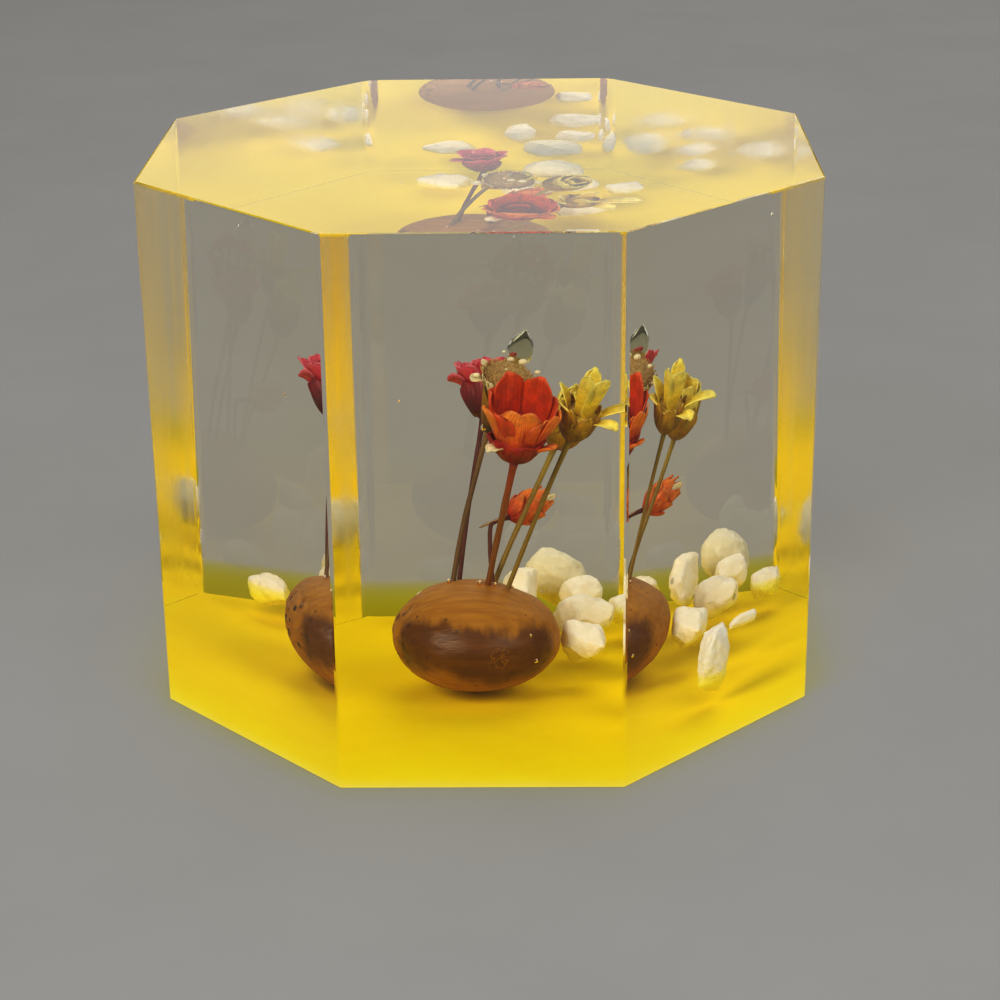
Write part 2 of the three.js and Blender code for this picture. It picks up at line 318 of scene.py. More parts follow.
class Finish:
    """A material with its node sheet and its surface shader."""

    def __init__(self, name: str, effects: Effects) -> None:
        """Starts the material.

        Args:
            name: The material's name.
            effects: The shared node groups.
        """
        self.material = bpy.data.materials.new(name)
        self.material.use_nodes = True
        self.effects = effects
        tree = self.material.node_tree
        self.sheet = NodeSheet(tree)
        self.shader = tree.nodes["Principled BSDF"]
        self.output = tree.nodes["Material Output"]

    def group(self, tree: bpy.types.NodeTree, values: dict[str, object] | None = None) -> bpy.types.Node:
        """Places a shared effect.

        Args:
            tree: The node group.
            values: What its inputs are set to.

        Returns:
            The group's node.
        """
        return self.sheet.add("Group", values, node_tree=tree)

    def cloud(self, scale: float, stretch: Point = (1.0, 1.0, 1.0)) -> Socket:
        """Soft variation over the surface.

        Args:
            scale: How fine it is, in clouds to a metre.
            stretch: How much finer it is along each axis.

        Returns:
            A value from 0 to 1.
        """
        return self.group(self.effects.mottle, {"Scale": scale, "Stretch": stretch}).outputs["Fac"]

    def specks(self, scale: float, size: float, share: float) -> Socket:
        """Scattered specks over the surface.

        Args:
            scale: How close they lie, in cells to a metre.
            size: How much of its cell a speck fills.
            share: Share of the cells that have one.

        Returns:
            A value that is 1 inside a speck.
        """
        values = {"Scale": scale, "Size": size, "Share": share}
        return self.group(self.effects.specks, values).outputs["Fac"]

    def set(self, **values: Feed) -> None:
        """Sets or joins sockets of the surface shader, named with underscores for spaces."""
        for key, value in values.items():
            self.sheet.feed(self.shader.inputs[key.replace("_", " ")], value)


@dataclass(frozen=True)
class ResinFinish:
    """See-through cast resin, dyed or clear, that lets the lamps light what is inside.

    Attributes:
        name: Name of the material.
        ior: Bending of light against what is around the piece.
        dye: Colour that is left after a depth of one metre divided by the density.
        density: Strength of the dye, 0 for clear resin.
        tint: Colour left by each pass through the surface; on the bubble wall it is painted shade and
            reflection, a greenish grey.
        dull: Roughness of the faces that are marked as dull; the others have a clear polish.
    """

    name: str
    ior: float
    dye: Colour = (1.0, 1.0, 1.0)
    density: float = 0.0
    tint: Colour = (1.0, 1.0, 1.0)
    dull: float = 0.0

    STREAK_SCALE = 600.0
    STREAK_STRETCH = (1.0, 1.0, 0.04)
    STREAK_LEAST = 0.6
    STREAK_SPAN = 0.8

    def make(self, effects: Effects) -> bpy.types.Material:
        """Builds the material.

        Args:
            effects: The shared node groups.

        Returns:
            The material.
        """
        finish = Finish(self.name, effects)
        sheet = finish.sheet
        finish.set(Base_Color=self.tint, Roughness=0.0, IOR=self.ior, Transmission_Weight=1.0)
        if self.dull:
            marked = sheet.add("Attribute", attribute_name="dull").outputs["Fac"]
            cloud = finish.cloud(self.STREAK_SCALE, self.STREAK_STRETCH)
            streaks = sheet.scaled(cloud, self.STREAK_SPAN * self.dull, self.STREAK_LEAST * self.dull)
            finish.set(Roughness=sheet.scaled(marked, streaks))
        path = sheet.add("LightPath")
        through = sheet.math("MAXIMUM", path.outputs["Is Shadow Ray"], path.outputs["Is Diffuse Ray"])
        pick = sheet.add("MixShader", {"Fac": through})
        sheet.feed(pick.inputs[1], finish.shader.outputs[0])
        sheet.feed(pick.inputs[2], sheet.add("BsdfTransparent").outputs[0])
        sheet.feed(finish.output.inputs["Surface"], pick.outputs[0])
        if self.density:
            dye = sheet.add("VolumeAbsorption", {"Color": self.dye, "Density": self.density})
            sheet.feed(finish.output.inputs["Volume"], dye.outputs[0])
        return finish.material


@dataclass(frozen=True)
class PetalFinish:
    """Dried petal or bract, coloured from foot to tip, with veins and a changed edge.

    Attributes:
        name: Name of the material.
        foot: Colour where the petal grows.
        body: Colour of its middle.
        tip: Colour of its end.
        vein: Colour of the veins.
        edge: Colour of the rim.
        veins: How strongly the veins show.
        roughness: Roughness of the surface.
    """

    name: str
    foot: Colour
    body: Colour
    tip: Colour
    vein: Colour
    edge: Colour
    veins: float = 0.45
    roughness: float = 0.5

    TONE_SHIFT = 0.7
    BLOTCH_SCALE = 900.0
    BLOTCH_DARK = (0.72, 0.72, 0.72)
    BLOTCH_PALE = (1.12, 1.12, 1.12)
    GLOW = 0.3
    GLOW_DEPTH = 0.6 * MM
    GLOW_SPREAD = (1.0, 0.5, 0.3)

    def make(self, effects: Effects) -> bpy.types.Material:
        """Builds the material.

        Args:
            effects: The shared node groups.

        Returns:
            The material.
        """
        finish = Finish(self.name, effects)
        sheet = finish.sheet
        petal = finish.group(effects.petal).outputs
        shift = sheet.scaled(petal["Tone"], self.TONE_SHIFT, -0.5 * self.TONE_SHIFT)
        along = sheet.math("ADD", petal["Along"], shift)
        colour = sheet.ramp(along, [(0.05, self.foot), (0.5, self.body), (1.0, self.tip)])
        colour = sheet.mix(sheet.scaled(petal["Vein"], self.veins), colour, self.vein)
        colour = sheet.mix(sheet.scaled(petal["Edge"], 0.5), colour, self.edge)
        blotches = [(0.0, self.BLOTCH_DARK), (1.0, self.BLOTCH_PALE)]
        blotch = sheet.ramp(finish.cloud(self.BLOTCH_SCALE), blotches)
        colour = sheet.mix(1.0, colour, blotch, "MULTIPLY")
        normal = sheet.bump(petal["Vein"], 0.5, 0.08)
        rough = sheet.scaled(petal["Vein"], 0.25, self.roughness - 0.1)
        finish.set(Base_Color=colour, Roughness=rough, Normal=normal)
        finish.set(Subsurface_Weight=self.GLOW, Subsurface_Scale=self.GLOW_DEPTH,
                   Subsurface_Radius=self.GLOW_SPREAD)
        return finish.material


@dataclass(frozen=True)
class StemFinish:
    """Dried stalk with fibres along it.

    Attributes:
        name: Name of the material.
        dark: Colour of the hollows between fibres.
        light: Colour of the fibres.
        top: Colour near the flower.
        pith: Colour of splinters.
    """

    name: str
    dark: Colour
    light: Colour
    top: Colour
    pith: Colour = (0.55, 0.38, 0.20)

    def make(self, effects: Effects) -> bpy.types.Material:
        """Builds the material.

        Args:
            effects: The shared node groups.

        Returns:
            The material.
        """
        finish = Finish(self.name, effects)
        sheet = finish.sheet
        petal = finish.group(effects.petal).outputs
        colour = sheet.mix(petal["Vein"], self.dark, self.light)
        colour = sheet.mix(sheet.span(petal["Along"], 0.55, 1.0), colour, self.top)
        patch = finish.cloud(500.0, (1.0, 1.0, 0.3))
        colour = sheet.mix(sheet.scaled(patch, 0.4), colour, self.dark)
        colour = sheet.mix(sheet.scaled(petal["Tone"], 0.8), colour, self.pith)
        rough = sheet.scaled(patch, 0.2, 0.5)
        finish.set(Base_Color=colour, Roughness=rough, Normal=sheet.bump(petal["Vein"], 0.6, 0.06))
        return finish.material


@dataclass(frozen=True)
class ShellFinish:
    """Brown nut shell with fine grain, a dark smooth patch low on its front that is painted shade and dark
    reflection, and rough dark ends.

    Attributes:
        name: Name of the material.
        pale: Colour of the lightest grain.
        brown: Colour of most of the shell.
        dark: Colour of the smooth patch of painted shade and dark reflection.
        worn: Colour of the grain inside that patch of painted shade and dark reflection.
        scar: Colour of the rough spots.
    """

    name: str = "nut_shell_brown"
    pale: Colour = (0.46, 0.215, 0.016)
    brown: Colour = (0.33, 0.135, 0.008)
    dark: Colour = (0.085, 0.028, 0.003)
    worn: Colour = (0.13, 0.044, 0.004)
    scar: Colour = (0.05, 0.02, 0.006)

    def make(self, effects: Effects) -> bpy.types.Material:
        """Builds the material.

        Args:
            effects: The shared node groups.

        Returns:
            The material.
        """
        finish = Finish(self.name, effects)
        sheet = finish.sheet
        grain = finish.cloud(1500.0, (0.1, 1.0, 1.0))
        broad = finish.cloud(260.0, (0.45, 1.0, 1.0))
        colour = sheet.mix(grain, self.brown, self.pale)
        colour = sheet.mix(sheet.scaled(broad, 0.45), colour, self.brown)
        place = sheet.add("SeparateXYZ", {"Vector": sheet.add("TexCoord").outputs["Object"]}).outputs
        # Painted shade and dark reflection: a dark band low on the nut's front, mixed in below.
        wave = sheet.scaled(finish.cloud(170.0, (1.0, 0.3, 0.3)), 0.0022, place["Z"])
        low = sheet.span(wave, 0.0099, 0.0088)
        low = sheet.scaled(low, sheet.span(wave, 0.0036, 0.0056))
        front = sheet.span(place["Y"], -0.0012, -0.0032)
        patch = sheet.scaled(low, front)
        smooth = sheet.mix(grain, self.dark, self.worn)
        smooth = sheet.mix(self.swirl(finish), smooth, self.pale)
        colour = sheet.mix(sheet.scaled(patch, 0.92), colour, smooth)
        end = sheet.span(place["X"], -0.0062, -0.0084)
        scar = sheet.scaled(end, finish.specks(900.0, 0.42, 0.5))
        pores = finish.specks(1100.0, 0.2, 0.16)
        colour = sheet.mix(sheet.math("MAXIMUM", scar, sheet.scaled(pores, 0.6)), colour, self.scar)
        rough = sheet.scaled(patch, -0.15, 0.55)
        height = sheet.scaled(grain, 0.6, sheet.scaled(broad, 0.4))
        finish.set(Base_Color=colour, Roughness=rough, Normal=sheet.bump(height, 0.45, 0.12))
        finish.set(Specular_IOR_Level=0.3)
        return finish.material

    @staticmethod
    def swirl(finish: Finish) -> Socket:
        """Makes the mark of curled lines inside the dark patch.

        Args:
            finish: The material that it is part of.

        Returns:
            Where the pale lines are.
        """
        sheet = finish.sheet
        coords = sheet.add("TexCoord").outputs["Object"]
        middle = (0.0015, -0.0067, 0.0055)
        away = sheet.add("VectorMath", {0: coords, 1: middle}, operation="DISTANCE").outputs["Value"]
        wobble = sheet.scaled(finish.cloud(900.0), 0.0012, away)
        lines = sheet.span(sheet.math("SINE", sheet.scaled(wobble, 8000.0)), 0.35, 1.0)
        return sheet.scaled(lines, sheet.scaled(sheet.span(away, 0.0017, 0.0009), 0.35))


@dataclass(frozen=True)
class StoneFinish:
    """White marble chip, milky, with faint cream clouds and a few grey specks.

    Attributes:
        name: Name of the material.
        white: Colour of the clean stone.
        cream: Colour of the clouds.
        grey: Colour of the specks.
        milk: How much light sinks in.
    """

    name: str
    white: Colour = (0.92, 0.88, 0.78)
    cream: Colour = (0.80, 0.68, 0.44)
    grey: Colour = (0.25, 0.25, 0.24)
    milk: float = 0.3

    def make(self, effects: Effects) -> bpy.types.Material:
        """Builds the material.

        Args:
            effects: The shared node groups.

        Returns:
            The material.
        """
        finish = Finish(self.name, effects)
        sheet = finish.sheet
        cloud = finish.cloud(330.0)
        fine = finish.cloud(1800.0)
        colour = sheet.mix(sheet.scaled(cloud, 0.5), self.white, self.cream)
        flecks_and_painted_glints = finish.specks(420.0, 0.16, 0.05)
        colour = sheet.mix(sheet.scaled(flecks_and_painted_glints, 0.6), colour, self.grey)
        rough = sheet.scaled(fine, 0.3, 0.35)
        finish.set(Base_Color=colour, Roughness=rough, Normal=sheet.bump(fine, 0.35, 0.1))
        finish.set(Subsurface_Weight=self.milk, Subsurface_Scale=0.0015, Subsurface_Radius=(1.0, 0.9, 0.7))
        return finish.material


@dataclass(frozen=True)
class MattFinish:
    """Plain matt surface with a little soft variation.

    Attributes:
        name: Name of the material.
        colour: Main colour.
        shade: Colour of the darker clouds.
        scale: How fine the clouds are.
        roughness: Roughness of the surface.
    """

    name: str
    colour: Colour
    shade: Colour
    scale: float = 200.0
    roughness: float = 0.8

    def make(self, effects: Effects) -> bpy.types.Material:
        """Builds the material.

        Args:
            effects: The shared node groups.

        Returns:
            The material.
        """
        finish = Finish(self.name, effects)
        cloud = finish.cloud(self.scale)
        finish.set(Base_Color=finish.sheet.mix(cloud, self.colour, self.shade), Roughness=self.roughness,
                   Specular_IOR_Level=0.0)
        return finish.material


def milli(point: Sequence[float]) -> Vector:
    """Turns a point in millimetres into metres."""
    return Vector(point) * MM


def turn_to(direction: Vector, start: Vector = UP) -> Matrix:
    """Finds the turn from one direction to another."""
    return start.rotation_difference(direction).to_matrix().to_4x4()


def frame_at(place: Sequence[float], turn: Matrix) -> Matrix:
    """Places a turned frame in millimetres at a point, which is also in millimetres."""
    return Matrix.Translation(milli(place)) @ turn @ Matrix.Scale(MM, 4)


def faces_round(verts: Sequence[BMVert]) -> list[BMFace]:
    """Lists the faces that use any of the vertices."""
    return list({face for vert in verts for face in vert.link_faces})


def verts_of(faces: Sequence[BMFace]) -> list[BMVert]:
    """Lists the vertices that any of the faces use."""
    return list({vert for face in faces for vert in face.verts})


def add_object(name: str, data: bpy.types.ID) -> bpy.types.Object:
    """Adds an object to the scene.

    Args:
        name: The object's name.
        data: Its mesh, light or camera.

    Returns:
        The object.
    """
    thing = bpy.data.objects.new(name, data)
    bpy.context.scene.collection.objects.link(thing)
    return thing


def add_mesh(name: str, bm: BMesh, finishes: Sequence[bpy.types.Material]) -> bpy.types.Object:
    """Turns a finished mesh into an object.

    Args:
        name: The object's name.
        bm: Its mesh, which is used up.
        finishes: Its materials, in the order of the faces' numbers.

    Returns:
        The object.
    """
    mesh = bpy.data.meshes.new(name)
    bm.to_mesh(mesh)
    bm.free()
    for finish in finishes:
        mesh.materials.append(finish)
    return add_object(name, mesh)


def smooth_line(points: Sequence[Vector], steps: int) -> list[Vector]:
    """Draws a smooth line through points.

    Args:
        points: The points that it passes through.
        steps: Steps between each pair of points.

    Returns:
        Points along the line, both ends included.
    """
    ends = [2 * points[0] - points[1], *points, 2 * points[-1] - points[-2]]
    line = []
    for a, b, c, d in zip(ends, ends[1:], ends[2:], ends[3:]):
        for step in range(steps):
            t = step / steps
            bow = (2 * a - 5 * b + 4 * c - d) * t * t + (3 * b - a - 3 * c + d) * t * t * t
            line.append(0.5 * (2 * b + (c - a) * t + bow))
    line.append(points[-1].copy())
    return line


def turns_along(line: Sequence[Vector]) -> list[Matrix]:
    """Finds the turn from +Z to a line's direction at each of its points, with no twist on the way.

    Args:
        line: Points along the line.

    Returns:
        A turn for each point.
    """
    turns = []
    turn, axis = Matrix.Identity(4), UP
    for i in range(len(line)):
        ahead = line[min(i + 1, len(line) - 1)] - line[max(i - 1, 0)]
        turn = turn_to(ahead, axis) @ turn
        turns.append(turn)
        axis = ahead
    return turns


def lathe(bm: BMesh, profile: Sequence[Vector], steps: int, frame_matrix: Matrix) -> list[BMFace]:
    """Spins a profile in the XZ plane round +Z and puts the shape in place.

    Args:
        bm: Where the shape is made.
        profile: Points in millimetres from the axis at the bottom to the axis at the top.
        steps: Steps round the axis.
        frame_matrix: Where the shape goes, with the change to metres.

    Returns:
        The shape's faces, which point outwards.
    """
    before = set(bm.faces)
    verts = [bm.verts.new(point) for point in profile]
    edges = [bm.edges.new(pair) for pair in zip(verts, verts[1:])]
    bmesh.ops.spin(bm, geom=[*verts, *edges], cent=(0, 0, 0), axis=UP, angle=2 * math.pi, steps=steps,
                   use_merge=True)
    spun = verts_of([face for face in bm.faces if face not in before])
    bmesh.ops.remove_doubles(bm, verts=spun, dist=1e-4)
    faces = [face for face in bm.faces if face not in before]
    bmesh.ops.recalc_face_normals(bm, faces=faces)
    bmesh.ops.transform(bm, matrix=frame_matrix, verts=verts_of(faces))
    return faces


def octagon_prism(bm: BMesh, across_flats: float, bottom: float, top: float) -> None:
    """Makes an octagonal prism with flats towards X and Y.

    Args:
        bm: Where the prism is made.
        across_flats: Its width in metres.
        bottom: Height of its underside.
        top: Height of its top face.
    """
    radius = across_flats / 2 / math.cos(math.pi / 8)
    ring = bmesh.ops.create_circle(bm, cap_ends=True, segments=8, radius=radius)["verts"]
    turn = Matrix.Translation((0, 0, bottom)) @ Matrix.Rotation(math.pi / 8, 4, "Z")
    bmesh.ops.transform(bm, matrix=turn, verts=ring)
    raised = bmesh.ops.extrude_face_region(bm, geom=bm.faces[:])["geom"]
    lifted = [part for part in raised if isinstance(part, BMVert)]
    bmesh.ops.translate(bm, vec=(0, 0, top - bottom), verts=lifted)
    bmesh.ops.recalc_face_normals(bm, faces=bm.faces)


def place_piece(name: str, bm: BMesh, finishes: Sequence[bpy.types.Material],
                nodes: Sequence[str], smooth: bool = True) -> bpy.types.Object:
    """Turns a finished mesh into a piece that stands for solids of the part.

    Args:
        name: The piece's name.
        bm: Its mesh, which is used up.
        finishes: Its materials, in the order of the faces' numbers.
        nodes: The solids that it stands for.
        smooth: Whether all its faces are shaded smooth, or only those that already are.

    Returns:
        The piece.
    """
    for face in bm.faces:
        face.smooth = smooth or face.smooth
    piece = add_mesh(name, bm, finishes)
    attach(piece, BODY)
    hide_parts(*nodes)
    LOG.info("%s: %d faces for %s", name, len(piece.data.polygons), ", ".join(nodes))
    return piece


@dataclass(frozen=True)
class Bubble:
    """Air bubble left in the resin.

    Attributes:
        foot: Its lowest point.
        tip: Its highest point.
        radius: Half its width.
        drop: How much it narrows towards its tip, from 0 for a ball to 1.
        finish: Number of its wall's material.
    """

    foot: Point
    tip: Point
    radius: float
    drop: float = 0.0
    finish: int = 0

    STEPS_UP = 18
    STEPS_ROUND = 28

    def carve(self, bm: BMesh) -> None:
        """Adds the bubble to the block's mesh as a hollow.

        Args:
            bm: The block's mesh.
        """
        start, end = Vector(self.foot), Vector(self.tip)
        height = (end - start).length
        profile = [Vector((0, 0, 0))]
        for step in range(1, self.STEPS_UP):
            t = step / self.STEPS_UP
            width = self.radius * math.sin(math.pi * t) * (1 - self.drop * t * t)
            rise = 0.5 * (1 - math.cos(math.pi * t)) * (1 - self.drop) + self.drop * t
            profile.append(Vector((width, 0, height * rise)))
        profile.append(Vector((0, 0, height)))
        faces = lathe(bm, profile, self.STEPS_ROUND, frame_at(start, turn_to(end - start)))
        bmesh.ops.reverse_faces(bm, faces=faces)
        for face in faces:
            face.smooth = True
            face.material_index = self.finish


@dataclass(frozen=True)
class ResinBlock:
    """The clear cast block with its worn edges, its dull slanted back faces and its air bubbles.

    Attributes:
        across_flats: Width of the octagon.
        height: Height of the block.
        edge: Width of the worn edges.
        back_edge: Width of the two upright edges beside the back face, which are worn more.
        back_steps: Steps across those two edges.
        bubbles: Air left in the resin.
    """

    across_flats: float = 60.0
    height: float = 50.0
    edge: float = 0.22
    back_edge: float = 1.1
    back_steps: int = 20
    bubbles: tuple[Bubble, ...] = (
        Bubble((3.1, 1.2, 32.3), (4.0, 1.2, 35.8), 1.45, 0.55, 1),
        Bubble((-7.6, 3.0, 28.6), (-7.6, 3.0, 28.85), 0.13),
        Bubble((-3.4, 1.9, 11.0), (-3.4, 1.9, 11.5), 0.25),
        Bubble((-0.5, 0.5, 11.2), (-0.5, 0.5, 11.7), 0.28),
        Bubble((0.9, 0.5, 11.1), (0.9, 0.5, 11.5), 0.22),
        Bubble((2.5, 0.5, 10.9), (2.5, 0.5, 11.2), 0.16),
        Bubble((4.7, -5.1, 4.9), (4.7, -5.1, 5.3), 0.2),
        Bubble((4.2, -5.0, 7.5), (4.2, -5.0, 7.8), 0.15),
        Bubble((0.0, 3.2, 25.8), (0.1, 3.2, 26.5), 0.3),
    )

    SLANTED = 0.68
    SHARP = math.radians(20)

    def build(self, effects: Effects) -> bpy.types.Object:
        """Builds and dresses the block.

        Args:
            effects: The shared node groups.

        Returns:
            The block.
        """
        bm = bmesh.new()
        octagon_prism(bm, self.across_flats * MM, 0.0, self.height * MM)
        self.wear_edges(bm)
        bm.normal_update()
        dull = bm.faces.layers.float.new("dull")
        for face in bm.faces:
            face[dull] = float(min(abs(face.normal.x), face.normal.y) > self.SLANTED)
        for bubble in self.bubbles:
            bubble.carve(bm)
        finishes = [effects.material(finish) for finish in (CLEAR_RESIN, BUBBLE_WALL)]
        halves = ["clear_front_half", "clear_back_half"]
        return place_piece("clear_block", bm, finishes, halves, smooth=False)

    def wear_edges(self, bm: BMesh) -> None:
        """Rounds the edges, all but those of the underside.

        Args:
            bm: The block's mesh.
        """
        back = 0.49 * self.across_flats * MM
        upright = [edge for edge in bm.edges if all(vert.co.y > back for vert in edge.verts)
                   and abs(edge.verts[0].co.z - edge.verts[1].co.z) > MM]
        bmesh.ops.bevel(bm, geom=upright, offset=self.back_edge * MM, offset_type="OFFSET",
                        segments=self.back_steps, profile=0.5, affect="EDGES", material=-1)
        worn = [edge for edge in bm.edges if max(vert.co.z for vert in edge.verts) > 0
                and edge.calc_face_angle() > self.SHARP]
        bmesh.ops.bevel(bm, geom=worn, offset=self.edge * MM, offset_type="OFFSET", segments=2,
                        profile=0.5, affect="EDGES", material=-1)


@dataclass(frozen=True)
class YellowLayer:
    """The dyed layer at the foot of the block, with its matt underside.

    Attributes:
        across_flats: Width of the octagon.
        thickness: Height of the layer.
        skin: Clear resin left around it, so that no air lies between the two pours.
    """

    across_flats: float = 60.0
    thickness: float = 4.0
    skin: float = 0.03

    def build(self, effects: Effects) -> bpy.types.Object:
        """Builds and dresses the layer.

        Args:
            effects: The shared node groups.

        Returns:
            The layer.
        """
        bm = bmesh.new()
        width = self.across_flats - 2 * self.skin
        octagon_prism(bm, width * MM, self.skin * MM, self.thickness * MM)
        for face in bm.faces:
            face.material_index = 1 if face.normal.z < -0.9 else 0
        finishes = [effects.material(finish) for finish in (DYED_RESIN, UNDERSIDE)]
        return place_piece("yellow_layer", bm, finishes, ["yellow_base"], smooth=False)


@dataclass(frozen=True)
class DriedNut:
    """The brown nut that the stems are stuck into.

    Attributes:
        centre: Its middle.
        half: Its half sizes.
        tilt: How far its right end dips.
        taper: How much slimmer its right end is.
        dents: Depth of its broad dents.
        ridges: Depth of its fine ridges.
    """

    centre: Point = (-0.85, 1.1, 5.95)
    half: Point = (8.0, 8.2, 5.35)
    tilt: float = 3.0
    taper: float = 0.05
    dents: float = 0.16
    ridges: float = 0.05

    DENT_SCALE = 1.3
    RIDGE_SCALE = 9.0
    PIT_SCALE = 7.0
    PIT_LEAST = 0.15
    PIT_START = 0.72

    def build(self, effects: Effects) -> bpy.types.Object:
        """Builds and dresses the nut.

        Args:
            effects: The shared node groups.

        Returns:
            The nut.
        """
        bm = bmesh.new()
        bmesh.ops.create_uvsphere(bm, u_segments=120, v_segments=80, radius=1.0)
        bmesh.ops.rotate(bm, cent=(0, 0, 0), matrix=Matrix.Rotation(math.pi / 2, 3, "Y"), verts=bm.verts)
        size = Vector(self.half)
        for vert in bm.verts:
            x, y, z = vert.co
            girth = 1 - self.taper * x
            out = Vector((x, y * girth, z * girth)).normalized()
            dent = noise.noise(Vector((x * 1.1, y * 2.1, z * 2.1)) * self.DENT_SCALE)
            ridge = noise.noise(Vector((x * 0.9, y * self.RIDGE_SCALE, z * self.RIDGE_SCALE)))
            pit = max(0.0, noise.noise(Vector((x, y, z)) * self.PIT_SCALE) - self.PIT_LEAST)
            pit *= max(0.0, -x - self.PIT_START) * 4.0
            shape = Vector((x * size.x, y * girth * size.y, z * girth * size.z))
            vert.co = shape + out * (self.dents * (dent - 0.35) + self.ridges * (ridge - 0.5) - 0.9 * pit)
        turn = Matrix.Rotation(math.radians(self.tilt), 4, "Y")
        bmesh.ops.transform(bm, matrix=frame_at(self.centre, turn), verts=bm.verts)
        bmesh.ops.recalc_face_normals(bm, faces=bm.faces)
        return place_piece("dried_nut", bm, [effects.material(ShellFinish())], ["nut"])


@dataclass(frozen=True)
class Stem:
    """A dried stalk from the nut to its flower.

    Attributes:
        name: Start of the piece's name and of its solid's.
        points: Line from the nut to the flower.
        base: Where the flower begins.
        radius: Half its thickness.
        slot: Name of a material slot; not used.
        finish: Its material.
        splinter: Ends of the splinter at a break, if it has one.
        sides: Sides of its section.
        ribs: How much its fibres stand out.
        foot_depth: How deep its foot sits in the nut.
    """

    name: str
    points: tuple[Point, ...]
    base: Point
    radius: float
    slot: str
    finish: StemFinish
    splinter: tuple[Point, Point] | None = None
    sides: int = 12
    ribs: float = 0.1
    foot_depth: float = 0.6

    SLIM = 0.92
    FOOT_SWELL = 0.1
    NECK_SWELL = 0.4
    WANDER = 0.12
    SHARD = ((0.0, 0.03), (0.15, 0.1), (0.4, 0.14), (0.7, 0.12), (1.0, 0.06))

    def tube(self, bm: BMesh, line: Sequence[Vector], radii: Sequence[float], pale: float = 0.0) -> None:
        """Draws a ribbed tube along a line.

        Args:
            bm: Where the tube is made.
            line: Points along its middle.
            radii: Its half thickness at each point.
            pale: How pale it is, from 0 for bark to 1 for bare wood.
        """
        along, across, tone = petal_layers(bm)
        ring = bmesh.ops.create_circle(bm, cap_ends=True, segments=self.sides, radius=1.0)["verts"]
        for i, vert in enumerate(ring):
            vert.co *= 1 + self.ribs * math.sin(2.6 * i)
            vert[across] = 2 * i / self.sides - 1
            vert[tone] = pale
        edges = list({edge for vert in ring for edge in vert.link_edges})
        before = Matrix.Identity(4)
        for i, (middle, radius, turn) in enumerate(zip(line, radii, turns_along(line))):
            if i:
                grown = bmesh.ops.extrude_edge_only(bm, edges=edges)["geom"]
                ring = [part for part in grown if isinstance(part, BMVert)]
                edges = [part for part in grown if isinstance(part, BMEdge)]
            matrix = Matrix.Translation(middle) @ turn @ Matrix.Scale(radius, 4)
            bmesh.ops.transform(bm, matrix=matrix @ before.inverted(), verts=ring)
            for vert in ring:
                vert[along] = i / (len(line) - 1)
            before = matrix
        bmesh.ops.holes_fill(bm, edges=edges, sides=0)

    def build(self, effects: Effects) -> bpy.types.Object:
        """Builds and dresses the stem.

        Args:
            effects: The shared node groups.

        Returns:
            The stem.
        """
        bm = bmesh.new()
        points = [milli(point) for point in (*self.points, self.base)]
        points[0] += (points[0] - points[1]).normalized() * self.foot_depth * MM
        line = smooth_line(points, 10)
        radii = []
        for i in range(len(line)):
            t = i / (len(line) - 1)
            swell = self.SLIM + self.FOOT_SWELL * math.exp(-14 * t)
            swell += self.NECK_SWELL * math.exp(-16 * (1 - t))
            wander = noise.noise(Vector((9.0 * t, self.radius * 40, 0.0)))
            radii.append(self.radius * MM * (swell + self.WANDER * wander))
        self.tube(bm, line, radii)
        if self.splinter:
            start, end = (milli(point) for point in self.splinter)
            shard = [start.lerp(end, t) for t, _ in self.SHARD]
            self.tube(bm, shard, [radius * MM for _, radius in self.SHARD], pale=1.0)
        bmesh.ops.recalc_face_normals(bm, faces=bm.faces)
        material = effects.material(self.finish)
        return place_piece(self.name + "_stalk", bm, [material], [self.name + "_stem"])


def petal_layers(bm: BMesh) -> tuple:
    """Finds or adds the places that petals and stems carry for their patterns.

    Args:
        bm: The mesh.

    Returns:
        The layers for the place along, the place across and the tone.
    """
    layers = bm.verts.layers.float
    return tuple(layers.get(name) or layers.new(name) for name in ("along", "across", "tone"))


